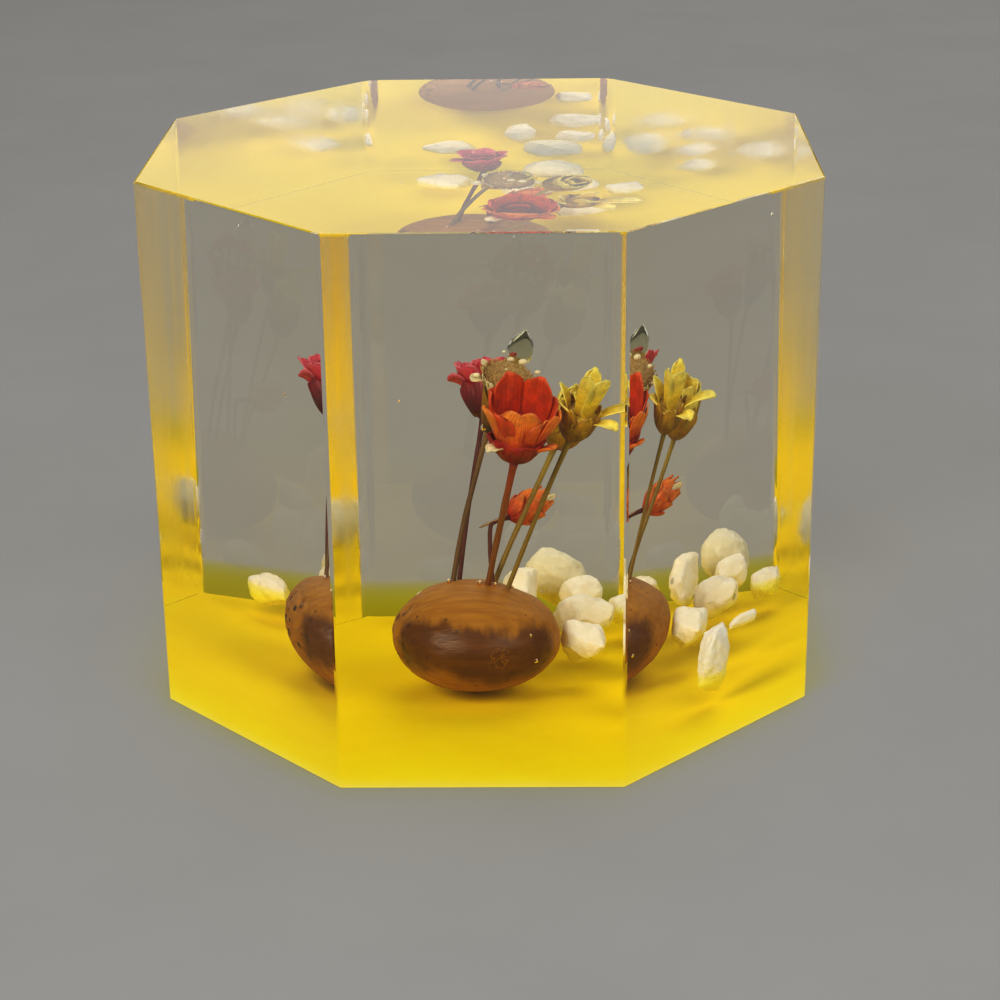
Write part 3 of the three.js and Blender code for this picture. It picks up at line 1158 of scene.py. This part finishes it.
@dataclass(frozen=True)
class Petal:
    """One petal or bract of a flower.

    Attributes:
        turn: Its side of the flower: 0 is right, 90 back, 180 left and 270 front.
        height: How far up the flower it grows.
        radius: How far from the axis it grows.
        length: Its length.
        width: Its greatest width.
        lean: How far it leans out at its foot.
        bend: How much further it leans at its tip.
        tip: How it ends.
        tone: Its shade, from 0 for dark to 1 for pale.
        finish: Number of its material.
        cup: How much its sides curl in.
    """

    turn: float
    height: float
    radius: float
    length: float
    width: float
    lean: float
    bend: float
    tip: Tip = Tip.ROUND
    tone: float = 0.5
    finish: int = 0
    cup: float = 0.35

    ACROSS = 8
    ALONG = 12
    THICKNESS = 0.13
    FOOT_SHARE = 0.45
    NOTCH = 0.17
    NOTCH_SLOPE = 1.4
    SHOULDER = 0.1
    FRAY = 0.12
    ROUNDING = 0.06
    WAVE = 0.05
    WAVE_TURN = 6.28
    TURN_SPREAD = 4.0
    BEND_SPREAD = 6.0
    TONE_SPREAD = 0.1
    OUTLINE = {Tip.ROUND: (0.66, 3.0, 0.42, 0.36), Tip.NOTCHED: (0.6, 3.6, 0.5, 0.6),
               Tip.FRAYED: (0.6, 2.8, 0.5, 0.3), Tip.POINTED: (0.5, 1.5, 0.85, 0.05)}

    def half_width(self, t: float) -> float:
        """Half the petal's width at a place along it.

        Args:
            t: The place, from 0 at the foot to 1 at the tip.

        Returns:
            Half the width in millimetres.
        """
        widest, power, root, end = self.OUTLINE[self.tip]
        if t < widest:
            share = self.FOOT_SHARE + (1 - self.FOOT_SHARE) * math.sin(0.5 * math.pi * t / widest)
        else:
            share = max(1 - ((t - widest) / (1 - widest)) ** power, 0.0) ** root
        return 0.5 * self.width * max(share, end)

    def reach(self, across: float, t: float, dice: random.Random) -> float:
        """How far along its length a point of the grid lies.

        Args:
            across: Place across, from -1 to 1.
            t: Place along, from 0 to 1.
            dice: Source of the small differences.

        Returns:
            The place along, cut back where the tip is notched or frayed.
        """
        if self.tip is Tip.NOTCHED:
            notch = self.NOTCH * t ** 3 * max(0.0, 1 - self.NOTCH_SLOPE * abs(across))
            return t * (1 - notch - self.SHOULDER * t ** 3 * across * across)
        if self.tip is Tip.FRAYED:
            return t * (1 - self.FRAY * t ** 4 * dice.random())
        if self.tip is Tip.ROUND:
            return t * (1 - self.ROUNDING * t ** 3 * across * across)
        return t

    def grow(self, bm: BMesh, where: Matrix, dice: random.Random) -> None:
        """Adds the petal to a flower's mesh as a thin closed sheet.

        Args:
            bm: The flower's mesh.
            where: The flower's place, from its own frame in millimetres.
            dice: Source of the small differences between petals.
        """
        layers = petal_layers(bm)
        grid = bmesh.ops.create_grid(bm, x_segments=self.ACROSS, y_segments=self.ALONG, size=1.0)["verts"]
        turn = self.turn + dice.uniform(-self.TURN_SPREAD, self.TURN_SPREAD)
        spin = Matrix.Rotation(math.radians(turn), 4, "Z")
        phase = dice.uniform(0, self.WAVE_TURN)
        bend = self.bend + dice.uniform(-self.BEND_SPREAD, self.BEND_SPREAD)
        tone = min(max(self.tone + dice.uniform(-self.TONE_SPREAD, self.TONE_SPREAD), 0.0), 1.0)
        for vert in grid:
            across = vert.co.x
            t = 0.5 * (vert.co.y + 1)
            half = self.half_width(t)
            far = self.reach(across, t, dice)
            angle = math.radians(self.lean + bend * far)
            middle = math.radians(self.lean + 0.5 * bend * far)
            wave = self.WAVE * self.width * t * math.sin(4.2 * across + 3.1 * t + phase)
            out = wave - self.cup * half * across * across
            vert.co = where @ spin @ Vector((
                self.radius + self.length * far * math.sin(middle) + out * math.cos(angle),
                across * half,
                self.height + self.length * far * math.cos(middle) - out * math.sin(angle),
            ))
            for layer, value in zip(layers, (t, across, tone)):
                vert[layer] = value
        faces = faces_round(grid)
        bmesh.ops.recalc_face_normals(bm, faces=faces)
        grown = bmesh.ops.extrude_face_region(bm, geom=faces, use_keep_orig=True)["geom"]
        raised = [part for part in grown if isinstance(part, BMVert)]
        for vert in grid:
            vert.normal_update()
        moves = [vert.normal * self.THICKNESS * MM for vert in raised]
        for vert, move in zip(raised, moves):
            vert.co += move
        whole = faces_round((*grid, *raised))
        bmesh.ops.recalc_face_normals(bm, faces=whole)
        for face in whole:
            face.material_index = self.finish


def ring(count: int, start: float, *sizes: float, **shape: object) -> tuple[Petal, ...]:
    """A row of petals spaced evenly round a flower.

    Args:
        count: How many there are.
        start: Where the first one is, in degrees.
        sizes: Their height, radius, length, width, lean and bend.
        shape: What else they share, as fields of a petal.

    Returns:
        The petals.
    """
    return tuple(Petal(start + 360 * i / count, *sizes, **shape) for i in range(count))


@dataclass(frozen=True)
class FlowerHead:
    """A dried flower head: a round heart with its petals and bracts, and florets on a disc.

    Attributes:
        name: Name of the solid that it stands for.
        base: Where it sits on its stem.
        tip: A point further along its axis.
        heart: Radius and height of points up its heart.
        petals: Its petals and bracts.
        finishes: Its materials; the heart has the last one.
        slot: Name of a material slot; not used.
        seed: What makes its petals differ.
        florets: How many florets stand on its top.
        flecks_and_painted_glints: Places in the block and radii of cream beads on it that are painted
            highlights, glints of light at the air bubble's foot and round the disc.
    """

    name: str
    base: Point
    tip: Point
    heart: tuple[tuple[float, float], ...]
    petals: tuple[Petal, ...]
    finishes: tuple[PetalFinish, ...]
    slot: str
    seed: int
    florets: int = 0
    flecks_and_painted_glints: tuple[tuple[float, float, float, float], ...] = ()

    GOLDEN_TURN = math.pi * (3 - math.sqrt(5))
    FLORET_LEAN = 0.35
    FLORET_LENGTHS = (0.7, 1.4)
    FLORET_FOOT = 0.15
    FLORET_TIP = 0.03
    # Shape of the cream beads that are painted glints.
    GLINT_SHAPE = (1.2, 1.0, 0.8, 1.0)

    def where(self) -> Matrix:
        """The place of the flower, from its own frame in millimetres."""
        return frame_at(self.base, turn_to(milli(self.tip) - milli(self.base)))

    def grow_heart(self, bm: BMesh) -> None:
        """Adds the round heart.

        Args:
            bm: The flower's mesh.
        """
        along, across, tone = petal_layers(bm)
        line = smooth_line([Vector((radius, 0, height)) for radius, height in self.heart], 4)
        top = max(point.z for point in line)
        ends = [Vector((0, 0, line[0].z)), *line, Vector((0, 0, line[-1].z))]
        faces = lathe(bm, ends, 24, self.where())
        back = self.where().inverted()
        for face in faces:
            face.material_index = len(self.finishes) - 1
            for vert in face.verts:
                here = back @ vert.co
                vert[along] = max(here.z, 0.0) / top
                vert[across] = math.atan2(here.y, here.x) / math.pi
                vert[tone] = 0.4

    def grow_florets(self, bm: BMesh, dice: random.Random) -> None:
        """Adds the fine florets that stand up from the disc.

        Args:
            bm: The flower's mesh.
            dice: Source of their small differences.
        """
        along, across, tone = petal_layers(bm)
        rim = max(radius for radius, _ in self.heart) + 0.25
        top = self.heart[-1][1]
        for i in range(self.florets):
            share = (i + 0.5) / self.florets
            out = rim * math.sqrt(share)
            angle = self.GOLDEN_TURN * i
            foot = Vector((out * math.cos(angle), out * math.sin(angle), top - 0.3 - 1.1 * share * share))
            stray = Vector((dice.uniform(-1, 1), dice.uniform(-1, 1), 0))
            lean = Vector((foot.x, foot.y, 0)) * self.FLORET_LEAN + stray * self.FLORET_LEAN
            length = dice.uniform(*self.FLORET_LENGTHS)
            spike = bmesh.ops.create_cone(bm, cap_ends=True, segments=5, radius1=self.FLORET_FOOT,
                                          radius2=self.FLORET_TIP, depth=length)["verts"]
            shade = dice.uniform(0.0, 0.8) + (0.3 if share > 0.85 else 0.0)
            for vert in spike:
                vert[along] = 0.5 + vert.co.z / length
                vert[across] = 0.0
                vert[tone] = min(shade, 1.0)
            place = self.where() @ Matrix.Translation(foot) @ turn_to(UP + lean)
            bmesh.ops.transform(bm, matrix=place, verts=spike)
            for face in faces_round(spike):
                face.material_index = len(self.finishes) - 1

    def grow_painted_glints(self, bm: BMesh) -> None:
        """Adds the cream beads that are painted highlights: glints at the air bubble's foot and round the
        disc.

        Args:
            bm: The flower's mesh.
        """
        along, across, tone = petal_layers(bm)
        for x, y, z, radius in self.flecks_and_painted_glints:
            where = Matrix.Translation(milli((x, y, z))) @ Matrix.Diagonal(self.GLINT_SHAPE)
            glint = bmesh.ops.create_icosphere(bm, subdivisions=2, radius=radius * MM, matrix=where)
            for vert in glint["verts"]:
                vert[along], vert[across], vert[tone] = 1.0, 0.0, 1.0

    def build(self, effects: Effects) -> bpy.types.Object:
        """Builds and dresses the flower.

        Args:
            effects: The shared node groups.

        Returns:
            The flower.
        """
        bm = bmesh.new()
        dice = random.Random(self.seed)
        self.grow_heart(bm)
        for petal in self.petals:
            petal.grow(bm, self.where(), dice)
        self.grow_florets(bm, dice)
        self.grow_painted_glints(bm)
        materials = [effects.material(finish) for finish in self.finishes]
        return place_piece(self.name + "_head", bm, materials, [self.name])


@dataclass(frozen=True)
class StoneChip:
    """A white stone chip with worn edges and a broken surface.

    Attributes:
        node: The solid that gives its shape.
        finish: Its material.
        seed: What makes its surface differ from the next chip's.
        wear: How many times its edges are softened.
        chips: Depth of the unevenness.
        breaks: How many small faces are broken off it.
    """

    node: str
    finish: StoneFinish
    seed: int
    wear: int = 6
    chips: float = 0.34
    breaks: int = 5

    SEED_STEP = 13.0
    ROUGHNESS = ((0.5, 0.7), (1.3, 0.4), (4.0, 0.1))

    @staticmethod
    def break_face(bm: BMesh, dice: random.Random) -> None:
        """Breaks a flat face off one side of the chip.

        Args:
            bm: The chip's mesh.
            dice: Source of the side and the depth.
        """
        side = Vector([dice.gauss(0, 1) for _ in range(3)]).normalized()
        reach = [vert.co.dot(side) for vert in bm.verts]
        depth = (max(reach) - min(reach)) * dice.uniform(0.03, 0.12)
        parts = [*bm.verts, *bm.edges, *bm.faces]
        bmesh.ops.bisect_plane(bm, geom=parts, plane_co=side * (max(reach) - depth), plane_no=side,
                               clear_outer=True)
        bmesh.ops.holes_fill(bm, edges=[edge for edge in bm.edges if edge.is_boundary], sides=0)

    @staticmethod
    def box(bm: BMesh) -> tuple[Vector, Vector]:
        """Measures the chip.

        Args:
            bm: The chip's mesh.

        Returns:
            The middle of its box and the box's size.
        """
        spans = [[vert.co[axis] for vert in bm.verts] for axis in range(3)]
        low, high = Vector([min(span) for span in spans]), Vector([max(span) for span in spans])
        return (low + high) / 2, high - low

    def soften(self, bm: BMesh) -> None:
        """Wears the edges down and keeps the chip's size.

        Args:
            bm: The chip's mesh.
        """
        middle, size = self.box(bm)
        for _ in range(self.wear):
            bmesh.ops.smooth_vert(bm, verts=bm.verts, factor=0.5, use_axis_x=True, use_axis_y=True,
                                  use_axis_z=True)
        worn_middle, worn_size = self.box(bm)
        grow = Matrix.Diagonal((*(old / new for old, new in zip(size, worn_size)), 1.0))
        bmesh.ops.transform(bm, matrix=Matrix.Translation(middle) @ grow @ Matrix.Translation(-worn_middle),
                            verts=bm.verts)

    def build(self, effects: Effects) -> bpy.types.Object:
        """Builds and dresses the chip.

        Args:
            effects: The shared node groups.

        Returns:
            The chip.
        """
        bm = bmesh.new()
        bm.from_mesh(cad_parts[self.node].data)
        bmesh.ops.remove_doubles(bm, verts=bm.verts, dist=1e-6)
        dice = random.Random(self.seed)
        for _ in range(self.breaks):
            self.break_face(bm, dice)
        bmesh.ops.dissolve_limit(bm, angle_limit=math.radians(3), verts=bm.verts, edges=bm.edges)
        bmesh.ops.triangulate(bm, faces=bm.faces)
        bmesh.ops.subdivide_edges(bm, edges=bm.edges, cuts=5, use_grid_fill=True)
        self.soften(bm)
        bmesh.ops.subdivide_edges(bm, edges=bm.edges, cuts=1, use_grid_fill=True)
        bm.normal_update()
        moves = []
        for vert in bm.verts:
            here = vert.co / MM + Vector((self.SEED_STEP * self.seed, 0, 0))
            rough = sum(noise.noise(here * scale) * share for scale, share in self.ROUGHNESS)
            moves.append(vert.normal * self.chips * MM * (rough - 0.2))
        for vert, move in zip(bm.verts, moves):
            vert.co += move
        bmesh.ops.recalc_face_normals(bm, faces=bm.faces)
        material = effects.material(self.finish)
        return place_piece(self.node + "_chip", bm, [material], [self.node])


@dataclass(frozen=True)
class Lamp:
    """A soft rectangular studio lamp.

    Attributes:
        name: Its name.
        place: Where it stands, in metres.
        aim: Where it points, in metres.
        size: Its width and height in metres.
        power: Its power in watts.
        colour: Its colour.
    """

    name: str
    place: Point
    aim: Point
    size: tuple[float, float]
    power: float
    colour: Colour = (1.0, 1.0, 1.0)

    def build(self) -> None:
        """Adds the lamp."""
        light = bpy.data.lights.new(self.name, "AREA")
        light.shape = "RECTANGLE"
        light.size, light.size_y = self.size
        light.energy = self.power
        light.color = self.colour
        lamp = add_object(self.name, light)
        lamp.location = self.place
        lamp.rotation_euler = (Vector(self.aim) - Vector(self.place)).to_track_quat("-Z", "Y").to_euler()


@dataclass(frozen=True)
class Studio:
    """Plain floor, soft lamps and the camera.

    Attributes:
        eye: Where the camera is, in millimetres.
        azimuth: How far it turns to the right.
        dip: How far it looks down.
        roll: How far it is turned about its line of sight.
        lens: Focal length for a 36 mm sensor.
        lamps: The lamps.
        world: Strength of the light from all round.
        floor_size: Width of the floor in metres.
    """

    eye: Point = (5.734, -210.870, 99.417)
    azimuth: float = -1.2206
    dip: float = 21.788
    roll: float = -0.7526
    lens: float = 84.35
    lamps: tuple[Lamp, ...] = (
        Lamp("key_lamp", (-0.42, -0.55, 0.42), (0, 0, 0.02), (0.35, 0.35), 3.1, (1.0, 0.97, 0.92)),
        Lamp("fill_lamp", (0.45, -0.40, 0.35), (0, 0, 0.02), (0.4, 0.4), 1.4),
        Lamp("top_lamp", (0.1, 0.4, 0.6), (0, 0, 0.02), (0.5, 0.5), 1.3, (1.0, 0.97, 0.92)),
        Lamp("back_panel", (0.0, 0.9, 0.3), (0, 0, 0.05), (1.1, 0.3), 0.7),
    )
    world: float = 0.115
    floor_size: float = 4.0

    def place_camera(self) -> None:
        """Adds the camera and makes it the scene's own."""
        turn, dip, roll = (math.radians(angle) for angle in (self.azimuth, self.dip, self.roll))
        ahead = Vector((math.sin(turn) * math.cos(dip), math.cos(turn) * math.cos(dip), -math.sin(dip)))
        level = Vector((math.cos(turn), -math.sin(turn), 0))
        over = level.cross(ahead)
        right = math.cos(roll) * level + math.sin(roll) * over
        over = math.cos(roll) * over - math.sin(roll) * level
        matrix = Matrix((right, over, -ahead)).transposed().to_4x4()
        matrix.translation = milli(self.eye)
        data = bpy.data.cameras.new("camera")
        data.lens = self.lens
        data.sensor_width = 36.0
        data.clip_start = 0.01
        camera = add_object("camera", data)
        camera.matrix_world = matrix
        bpy.context.scene.camera = camera

    def lay_floor(self, effects: Effects) -> None:
        """Adds the floor.

        Args:
            effects: The shared node groups.
        """
        bm = bmesh.new()
        bmesh.ops.create_grid(bm, x_segments=1, y_segments=1, size=self.floor_size / 2)
        add_mesh("floor", bm, [effects.material(PALE_FLOOR)])

    def build(self, effects: Effects) -> None:
        """Sets up the floor, the light and the camera.

        Args:
            effects: The shared node groups.
        """
        scene = bpy.context.scene
        self.place_camera()
        self.lay_floor(effects)
        for lamp in self.lamps:
            lamp.build()
        scene.world = bpy.data.worlds.new("studio_light")
        scene.world.use_nodes = True
        background = scene.world.node_tree.nodes["Background"]
        background.inputs["Color"].default_value = (0.75, 0.75, 0.75, 1.0)
        background.inputs["Strength"].default_value = self.world
        scene.view_settings.view_transform = "Standard"
        scene.view_settings.look = "High Contrast"
        cycles = scene.cycles
        cycles.max_bounces = 40
        cycles.transmission_bounces = cycles.glossy_bounces = cycles.transparent_max_bounces = 32
        cycles.diffuse_bounces = 4


CLEAR_RESIN = ResinFinish("clear_cast_resin", 1.57, (1.0, 0.97, 0.86), 25.0, dull=0.15)
# The air bubble's greenish-grey tint is painted shade and reflection: it stands in for the dim surroundings
# mirrored in the bubble.
BUBBLE_WALL = ResinFinish("bubble_wall", 1.14, tint=(0.70, 0.70, 0.52))
DYED_RESIN = ResinFinish("yellow_dyed_resin", 1.0, (1.0, 0.982, 0.05), 330.0)
PALE_FLOOR = MattFinish("pale_floor", (0.40, 0.40, 0.40), (0.385, 0.385, 0.385), 30.0, 0.6)
UNDERSIDE = MattFinish("matt_underside", (0.96, 0.84, 0.22), (0.94, 0.79, 0.18), 90.0, 1.0)

CRIMSON = PetalFinish("crimson_petal", (0.20, 0.004, 0.012), (0.50, 0.010, 0.040), (0.74, 0.10, 0.17),
                      (0.34, 0.004, 0.022), (0.80, 0.26, 0.30))
MAROON = PetalFinish("maroon_bract", (0.09, 0.004, 0.006), (0.19, 0.006, 0.012), (0.32, 0.012, 0.022),
                     (0.08, 0.003, 0.004), (0.26, 0.010, 0.016))
SCARLET = PetalFinish("scarlet_petal", (0.34, 0.012, 0.002), (0.62, 0.058, 0.003), (0.72, 0.100, 0.004),
                      (0.44, 0.022, 0.001), (0.66, 0.085, 0.004), veins=0.4)
RUBY = PetalFinish("ruby_bract", (0.16, 0.004, 0.003), (0.34, 0.010, 0.004), (0.48, 0.020, 0.006),
                   (0.20, 0.004, 0.002), (0.42, 0.030, 0.010))
ORANGE = PetalFinish("orange_petal", (0.48, 0.025, 0.003), (0.78, 0.150, 0.008), (0.86, 0.300, 0.030),
                     (0.60, 0.070, 0.004), (0.55, 0.080, 0.006))
CREAM = PetalFinish("cream_bract", (0.60, 0.22, 0.06), (0.82, 0.60, 0.28), (0.90, 0.82, 0.56),
                    (0.66, 0.40, 0.14), (0.84, 0.66, 0.34))
LEMON = PetalFinish("lemon_petal", (0.66, 0.40, 0.012), (0.97, 0.70, 0.035), (1.0, 0.85, 0.20),
                    (0.82, 0.52, 0.02), (1.0, 0.84, 0.24), veins=0.3)
GOLD = PetalFinish("gold_bract", (0.22, 0.10, 0.008), (0.46, 0.24, 0.012), (0.64, 0.42, 0.025),
                   (0.26, 0.11, 0.006), (0.12, 0.04, 0.004))
FLORET = PetalFinish("brown_floret", (0.08, 0.042, 0.008), (0.26, 0.14, 0.03), (0.50, 0.32, 0.11),
                     (0.12, 0.065, 0.015), (0.26, 0.16, 0.06), veins=0.2, roughness=0.7)

RED_STEM = StemFinish("red_stalk", (0.07, 0.012, 0.006), (0.17, 0.035, 0.014), (0.10, 0.008, 0.006))
OLIVE_STEM = StemFinish("olive_stalk", (0.18, 0.10, 0.012), (0.44, 0.31, 0.05), (0.40, 0.30, 0.05))
BROWN_STEM = StemFinish("brown_stalk", (0.10, 0.05, 0.015), (0.26, 0.15, 0.05), (0.28, 0.17, 0.07))
RUST_STEM = StemFinish("rust_stalk", (0.18, 0.06, 0.012), (0.38, 0.16, 0.03), (0.34, 0.05, 0.012))

STEMS = (
    Stem("crimson", ((-2.5, 4.2, 10.5), (-1.7, 5.8, 16.5), (-0.7, 7.9, 22.3)), (-0.1, 9.3, 25.7), 0.24,
         "red_stem", RED_STEM),
    Stem("brown", ((-3.1, 2.8, 10.5), (-2.1, 3.2, 16.0), (-0.7, 3.8, 21.5)), (0.4, 3.9, 25.6), 0.26,
         "olive_stem", BROWN_STEM),
    Stem("orange", ((0.2, 1.4, 10.6), (0.9, -0.2, 14.5), (1.9, -2.4, 19.6)), (2.9, -4.9, 24.7), 0.31,
         "olive_stem", RUST_STEM),
    Stem("front_yellow", ((2.0, 1.2, 10.4), (3.8, 0.0, 15.5), (5.9, -1.4, 21.2)), (7.9, -2.7, 26.3), 0.23,
         "olive_stem", OLIVE_STEM),
    Stem("back_yellow", ((0.8, 4.7, 10.3), (2.4, 5.0, 14.3), (4.6, 5.4, 19.2)), (6.6, 5.4, 23.8), 0.26,
         "olive_stem", OLIVE_STEM),
    Stem("bud", ((0.7, 3.4, 10.5), (0.5, 4.1, 13.3), (0.5, 4.9, 15.7), (0.9, 5.5, 16.3)), (2.4, 6.7, 16.5),
         0.22, "red_stem", RED_STEM, ((-0.6, 4.6, 15.9), (1.5, 5.8, 16.6))),
)

CRIMSON_HEAD = FlowerHead(
    "crimson_flower", (-0.1, 9.3, 25.7), (-0.4, 11.6, 30.1), ((0.4, 0), (1.1, 0.7), (1.55, 2.2), (1.45, 3.2)),
    (
        *ring(6, 30, 0.35, 0.8, 3.3, 2.1, 38, -44, tone=0.4, finish=1),
        *ring(5, 50, 2.8, 0.7, 2.6, 1.7, 10, 22, tone=0.25),
        Petal(186, 2.7, 1.3, 2.2, 2.3, 14, 84, Tip.ROUND, 0.9),
        Petal(236, 2.6, 1.35, 2.5, 2.1, 10, 60, Tip.FRAYED, 0.7),
        Petal(286, 2.6, 1.35, 2.8, 2.0, 10, 50, Tip.ROUND, 0.5),
        Petal(336, 2.6, 1.35, 3.2, 2.1, 8, 40, Tip.ROUND, 0.55),
        Petal(28, 2.6, 1.35, 3.8, 2.2, 6, 34, Tip.FRAYED, 0.5),
        Petal(80, 2.6, 1.35, 4.2, 2.4, 4, 30, Tip.ROUND, 0.6),
        Petal(134, 2.6, 1.35, 4.1, 2.4, 4, 36, Tip.ROUND, 0.7),
    ),
    (CRIMSON, MAROON), "crimson_petals", 3,
)

BROWN_HEAD = FlowerHead(
    "brown_flower", (0.4, 3.9, 25.6), (2.7, 1.9, 31.6),
    ((0.4, 0), (0.9, 0.8), (1.4, 2.8), (2.1, 4.9), (2.4, 5.8), (2.05, 6.6), (1.1, 7.0)),
    (
        *ring(9, 10, 1.2, 1.0, 3.9, 1.4, 16, 0, tip=Tip.POINTED, tone=0.35, finish=1),
        *ring(11, 0, 5.0, 2.1, 1.2, 1.0, 40, -30, tip=Tip.FRAYED, tone=0.7),
        Petal(206, 5.6, 2.3, 1.5, 1.1, 70, 50, Tip.ROUND, 1.0),
        Petal(160, 5.9, 2.2, 1.0, 0.8, 50, 20, Tip.ROUND, 1.0),
        Petal(350, 5.9, 2.2, 1.0, 0.8, 50, 20, Tip.ROUND, 1.0),
    ),
    (CREAM, GOLD, FLORET), "brown_florets", 5, 210,
    # Cream beads that are painted highlights: glints at the foot of the air bubble and round the disc's rim.
    ((2.6, 0.2, 33.2, 0.3), (3.7, 0.0, 33.0, 0.36), (2.0, 0.4, 33.9, 0.14), (-0.5, 0.9, 31.6, 0.28),
     (5.0, 0.6, 31.9, 0.24), (2.2, -0.4, 32.4, 0.13)),
)

ORANGE_HEAD = FlowerHead(
    "orange_flower", (2.9, -4.9, 24.7), (3.9, -6.6, 32.4), ((0.5, 0), (1.4, 0.4), (2.0, 1.3), (1.9, 2.4)),
    (
        *ring(7, 290, 0.4, 1.0, 2.8, 2.4, 58, -48, tone=0.5, finish=3),
        Petal(128, 2.0, 1.6, 6.1, 3.5, 13, -10, Tip.ROUND, 0.5, cup=0.12),
        Petal(52, 2.0, 1.6, 6.0, 3.5, 14, -10, Tip.ROUND, 0.55, cup=0.12),
        Petal(90, 1.8, 1.0, 2.6, 2.4, 4, 0, Tip.FRAYED, 0.1),
        Petal(160, 1.8, 1.5, 5.0, 3.2, 18, -6, Tip.ROUND, 0.6, cup=0.2),
        Petal(20, 1.8, 1.5, 4.9, 3.2, 24, -8, Tip.ROUND, 0.5, cup=0.2),
        Petal(194, 1.7, 1.6, 4.4, 2.6, 26, -4, Tip.ROUND, 0.75, 1),
        Petal(348, 1.6, 1.6, 4.8, 3.4, 34, -22, Tip.NOTCHED, 0.45, 1),
        Petal(220, 1.5, 1.7, 4.2, 3.0, 20, -6, Tip.ROUND, 0.5),
        Petal(322, 1.5, 1.7, 4.0, 3.2, 25, -8, Tip.ROUND, 0.4, 1),
        Petal(271, 1.4, 1.8, 5.1, 3.9, 8, -6, Tip.NOTCHED, 0.62, 1, cup=0.2),
        Petal(226, 1.6, 1.7, 2.0, 1.3, 52, 50, Tip.ROUND, 0.9, 2),
        Petal(332, 1.5, 1.9, 2.4, 1.6, 50, 20, Tip.ROUND, 0.95, 1),
    ),
    (SCARLET, ORANGE, CREAM, RUBY), "orange_petals", 7,
)

FRONT_YELLOW_HEAD = FlowerHead(
    "front_yellow_flower", (7.9, -2.7, 26.3), (10.5, -5.4, 33.4),
    ((0.4, 0), (1.15, 0.7), (1.7, 1.9), (1.6, 3.1)),
    (
        *ring(6, 10, 0.3, 0.8, 2.4, 1.8, 40, -44, tip=Tip.POINTED, tone=0.3, finish=1),
        *ring(7, 30, 1.0, 1.3, 2.9, 1.7, 18, -18, tip=Tip.POINTED, tone=0.55, finish=1),
        Petal(240, 2.8, 0.8, 5.2, 1.7, 8, 0, Tip.ROUND, 0.7),
        Petal(300, 2.8, 0.8, 5.4, 1.7, 6, 4, Tip.ROUND, 0.75),
        Petal(100, 2.8, 0.7, 4.6, 1.7, 6, 0, Tip.ROUND, 0.5),
        Petal(172, 2.7, 1.2, 2.9, 1.4, 22, 24, Tip.POINTED, 0.6),
        Petal(0, 2.7, 1.3, 4.8, 1.5, 34, 44, Tip.ROUND, 0.8),
        Petal(332, 2.6, 1.4, 2.6, 1.6, 46, 50, Tip.ROUND, 0.95),
        Petal(205, 2.7, 1.2, 2.2, 1.4, 30, 40, Tip.POINTED, 0.85),
    ),
    (LEMON, GOLD), "yellow_petals", 11,
)

BACK_YELLOW_HEAD = FlowerHead(
    "back_yellow_flower", (6.6, 5.4, 23.8), (9.5, 2.6, 30.4), ((0.4, 0), (1.2, 0.7), (1.85, 2.0), (1.7, 3.0)),
    (
        *ring(7, 0, 0.3, 0.9, 2.9, 2.0, 46, -52, tip=Tip.POINTED, tone=0.35, finish=1),
        *ring(7, 25, 1.3, 1.6, 3.3, 1.9, 18, -30, tip=Tip.POINTED, tone=0.8, finish=1),
        *ring(7, 5, 2.2, 1.5, 3.8, 1.9, 12, -22, tip=Tip.FRAYED, tone=0.7),
        *ring(4, 40, 2.7, 0.8, 4.0, 1.6, 6, -10, tip=Tip.ROUND, tone=0.6),
    ),
    (LEMON, GOLD), "yellow_petals", 13,
)

BUD_HEAD = FlowerHead(
    "orange_bud", (2.4, 6.7, 16.5), (6.4, 8.8, 18.5), ((0.35, 0), (0.95, 0.5), (1.35, 1.4), (1.0, 2.2)),
    (
        *ring(5, 18, -0.1, 0.3, 2.3, 1.7, 62, -58, tip=Tip.POINTED, tone=0.3, finish=1),
        *ring(5, 0, 0.4, 0.6, 2.7, 2.0, 40, -44, tone=0.45, finish=1),
        *ring(5, 36, 1.1, 0.85, 3.1, 1.8, 22, -36, tip=Tip.POINTED, tone=0.55, finish=1),
        *ring(3, 80, 1.7, 0.5, 3.0, 1.3, 8, -12, tip=Tip.POINTED, tone=0.8, finish=1),
        Petal(300, 1.6, 0.7, 3.1, 1.0, 12, -20, Tip.POINTED, 0.8),
    ),
    (CREAM, ORANGE), "orange_petals", 17,
)

HEADS = (CRIMSON_HEAD, BROWN_HEAD, ORANGE_HEAD, FRONT_YELLOW_HEAD, BACK_YELLOW_HEAD, BUD_HEAD)

MARBLE = StoneFinish("white_marble")
CHIPS = ("back_low", "middle", "behind_nut", "by_nut", "right", "standing", "left")
GREY_MARBLE = StoneFinish("grey_marble", (0.76, 0.73, 0.60), (0.66, 0.60, 0.42), milk=0.5)
GREY_CHIP = StoneChip("stone_back", GREY_MARBLE, 8)
SLIVER = StoneChip("stone_sliver", MARBLE, 29, wear=2, chips=0.05, breaks=2)
STONES = (GREY_CHIP, *(StoneChip("stone_" + place, MARBLE, seed) for seed, place in enumerate(CHIPS)), SLIVER)


def main() -> None:
    """Builds the studio and every piece of the paperweight in order."""
    logging.basicConfig(level=logging.INFO, format="%(name)s: %(message)s")
    effects = Effects()
    Studio().build(effects)
    ResinBlock().build(effects)
    YellowLayer().build(effects)
    DriedNut().build(effects)
    for part in (*STEMS, *HEADS, *STONES):
        part.build(effects)


if __name__ == "__main__":
    main()
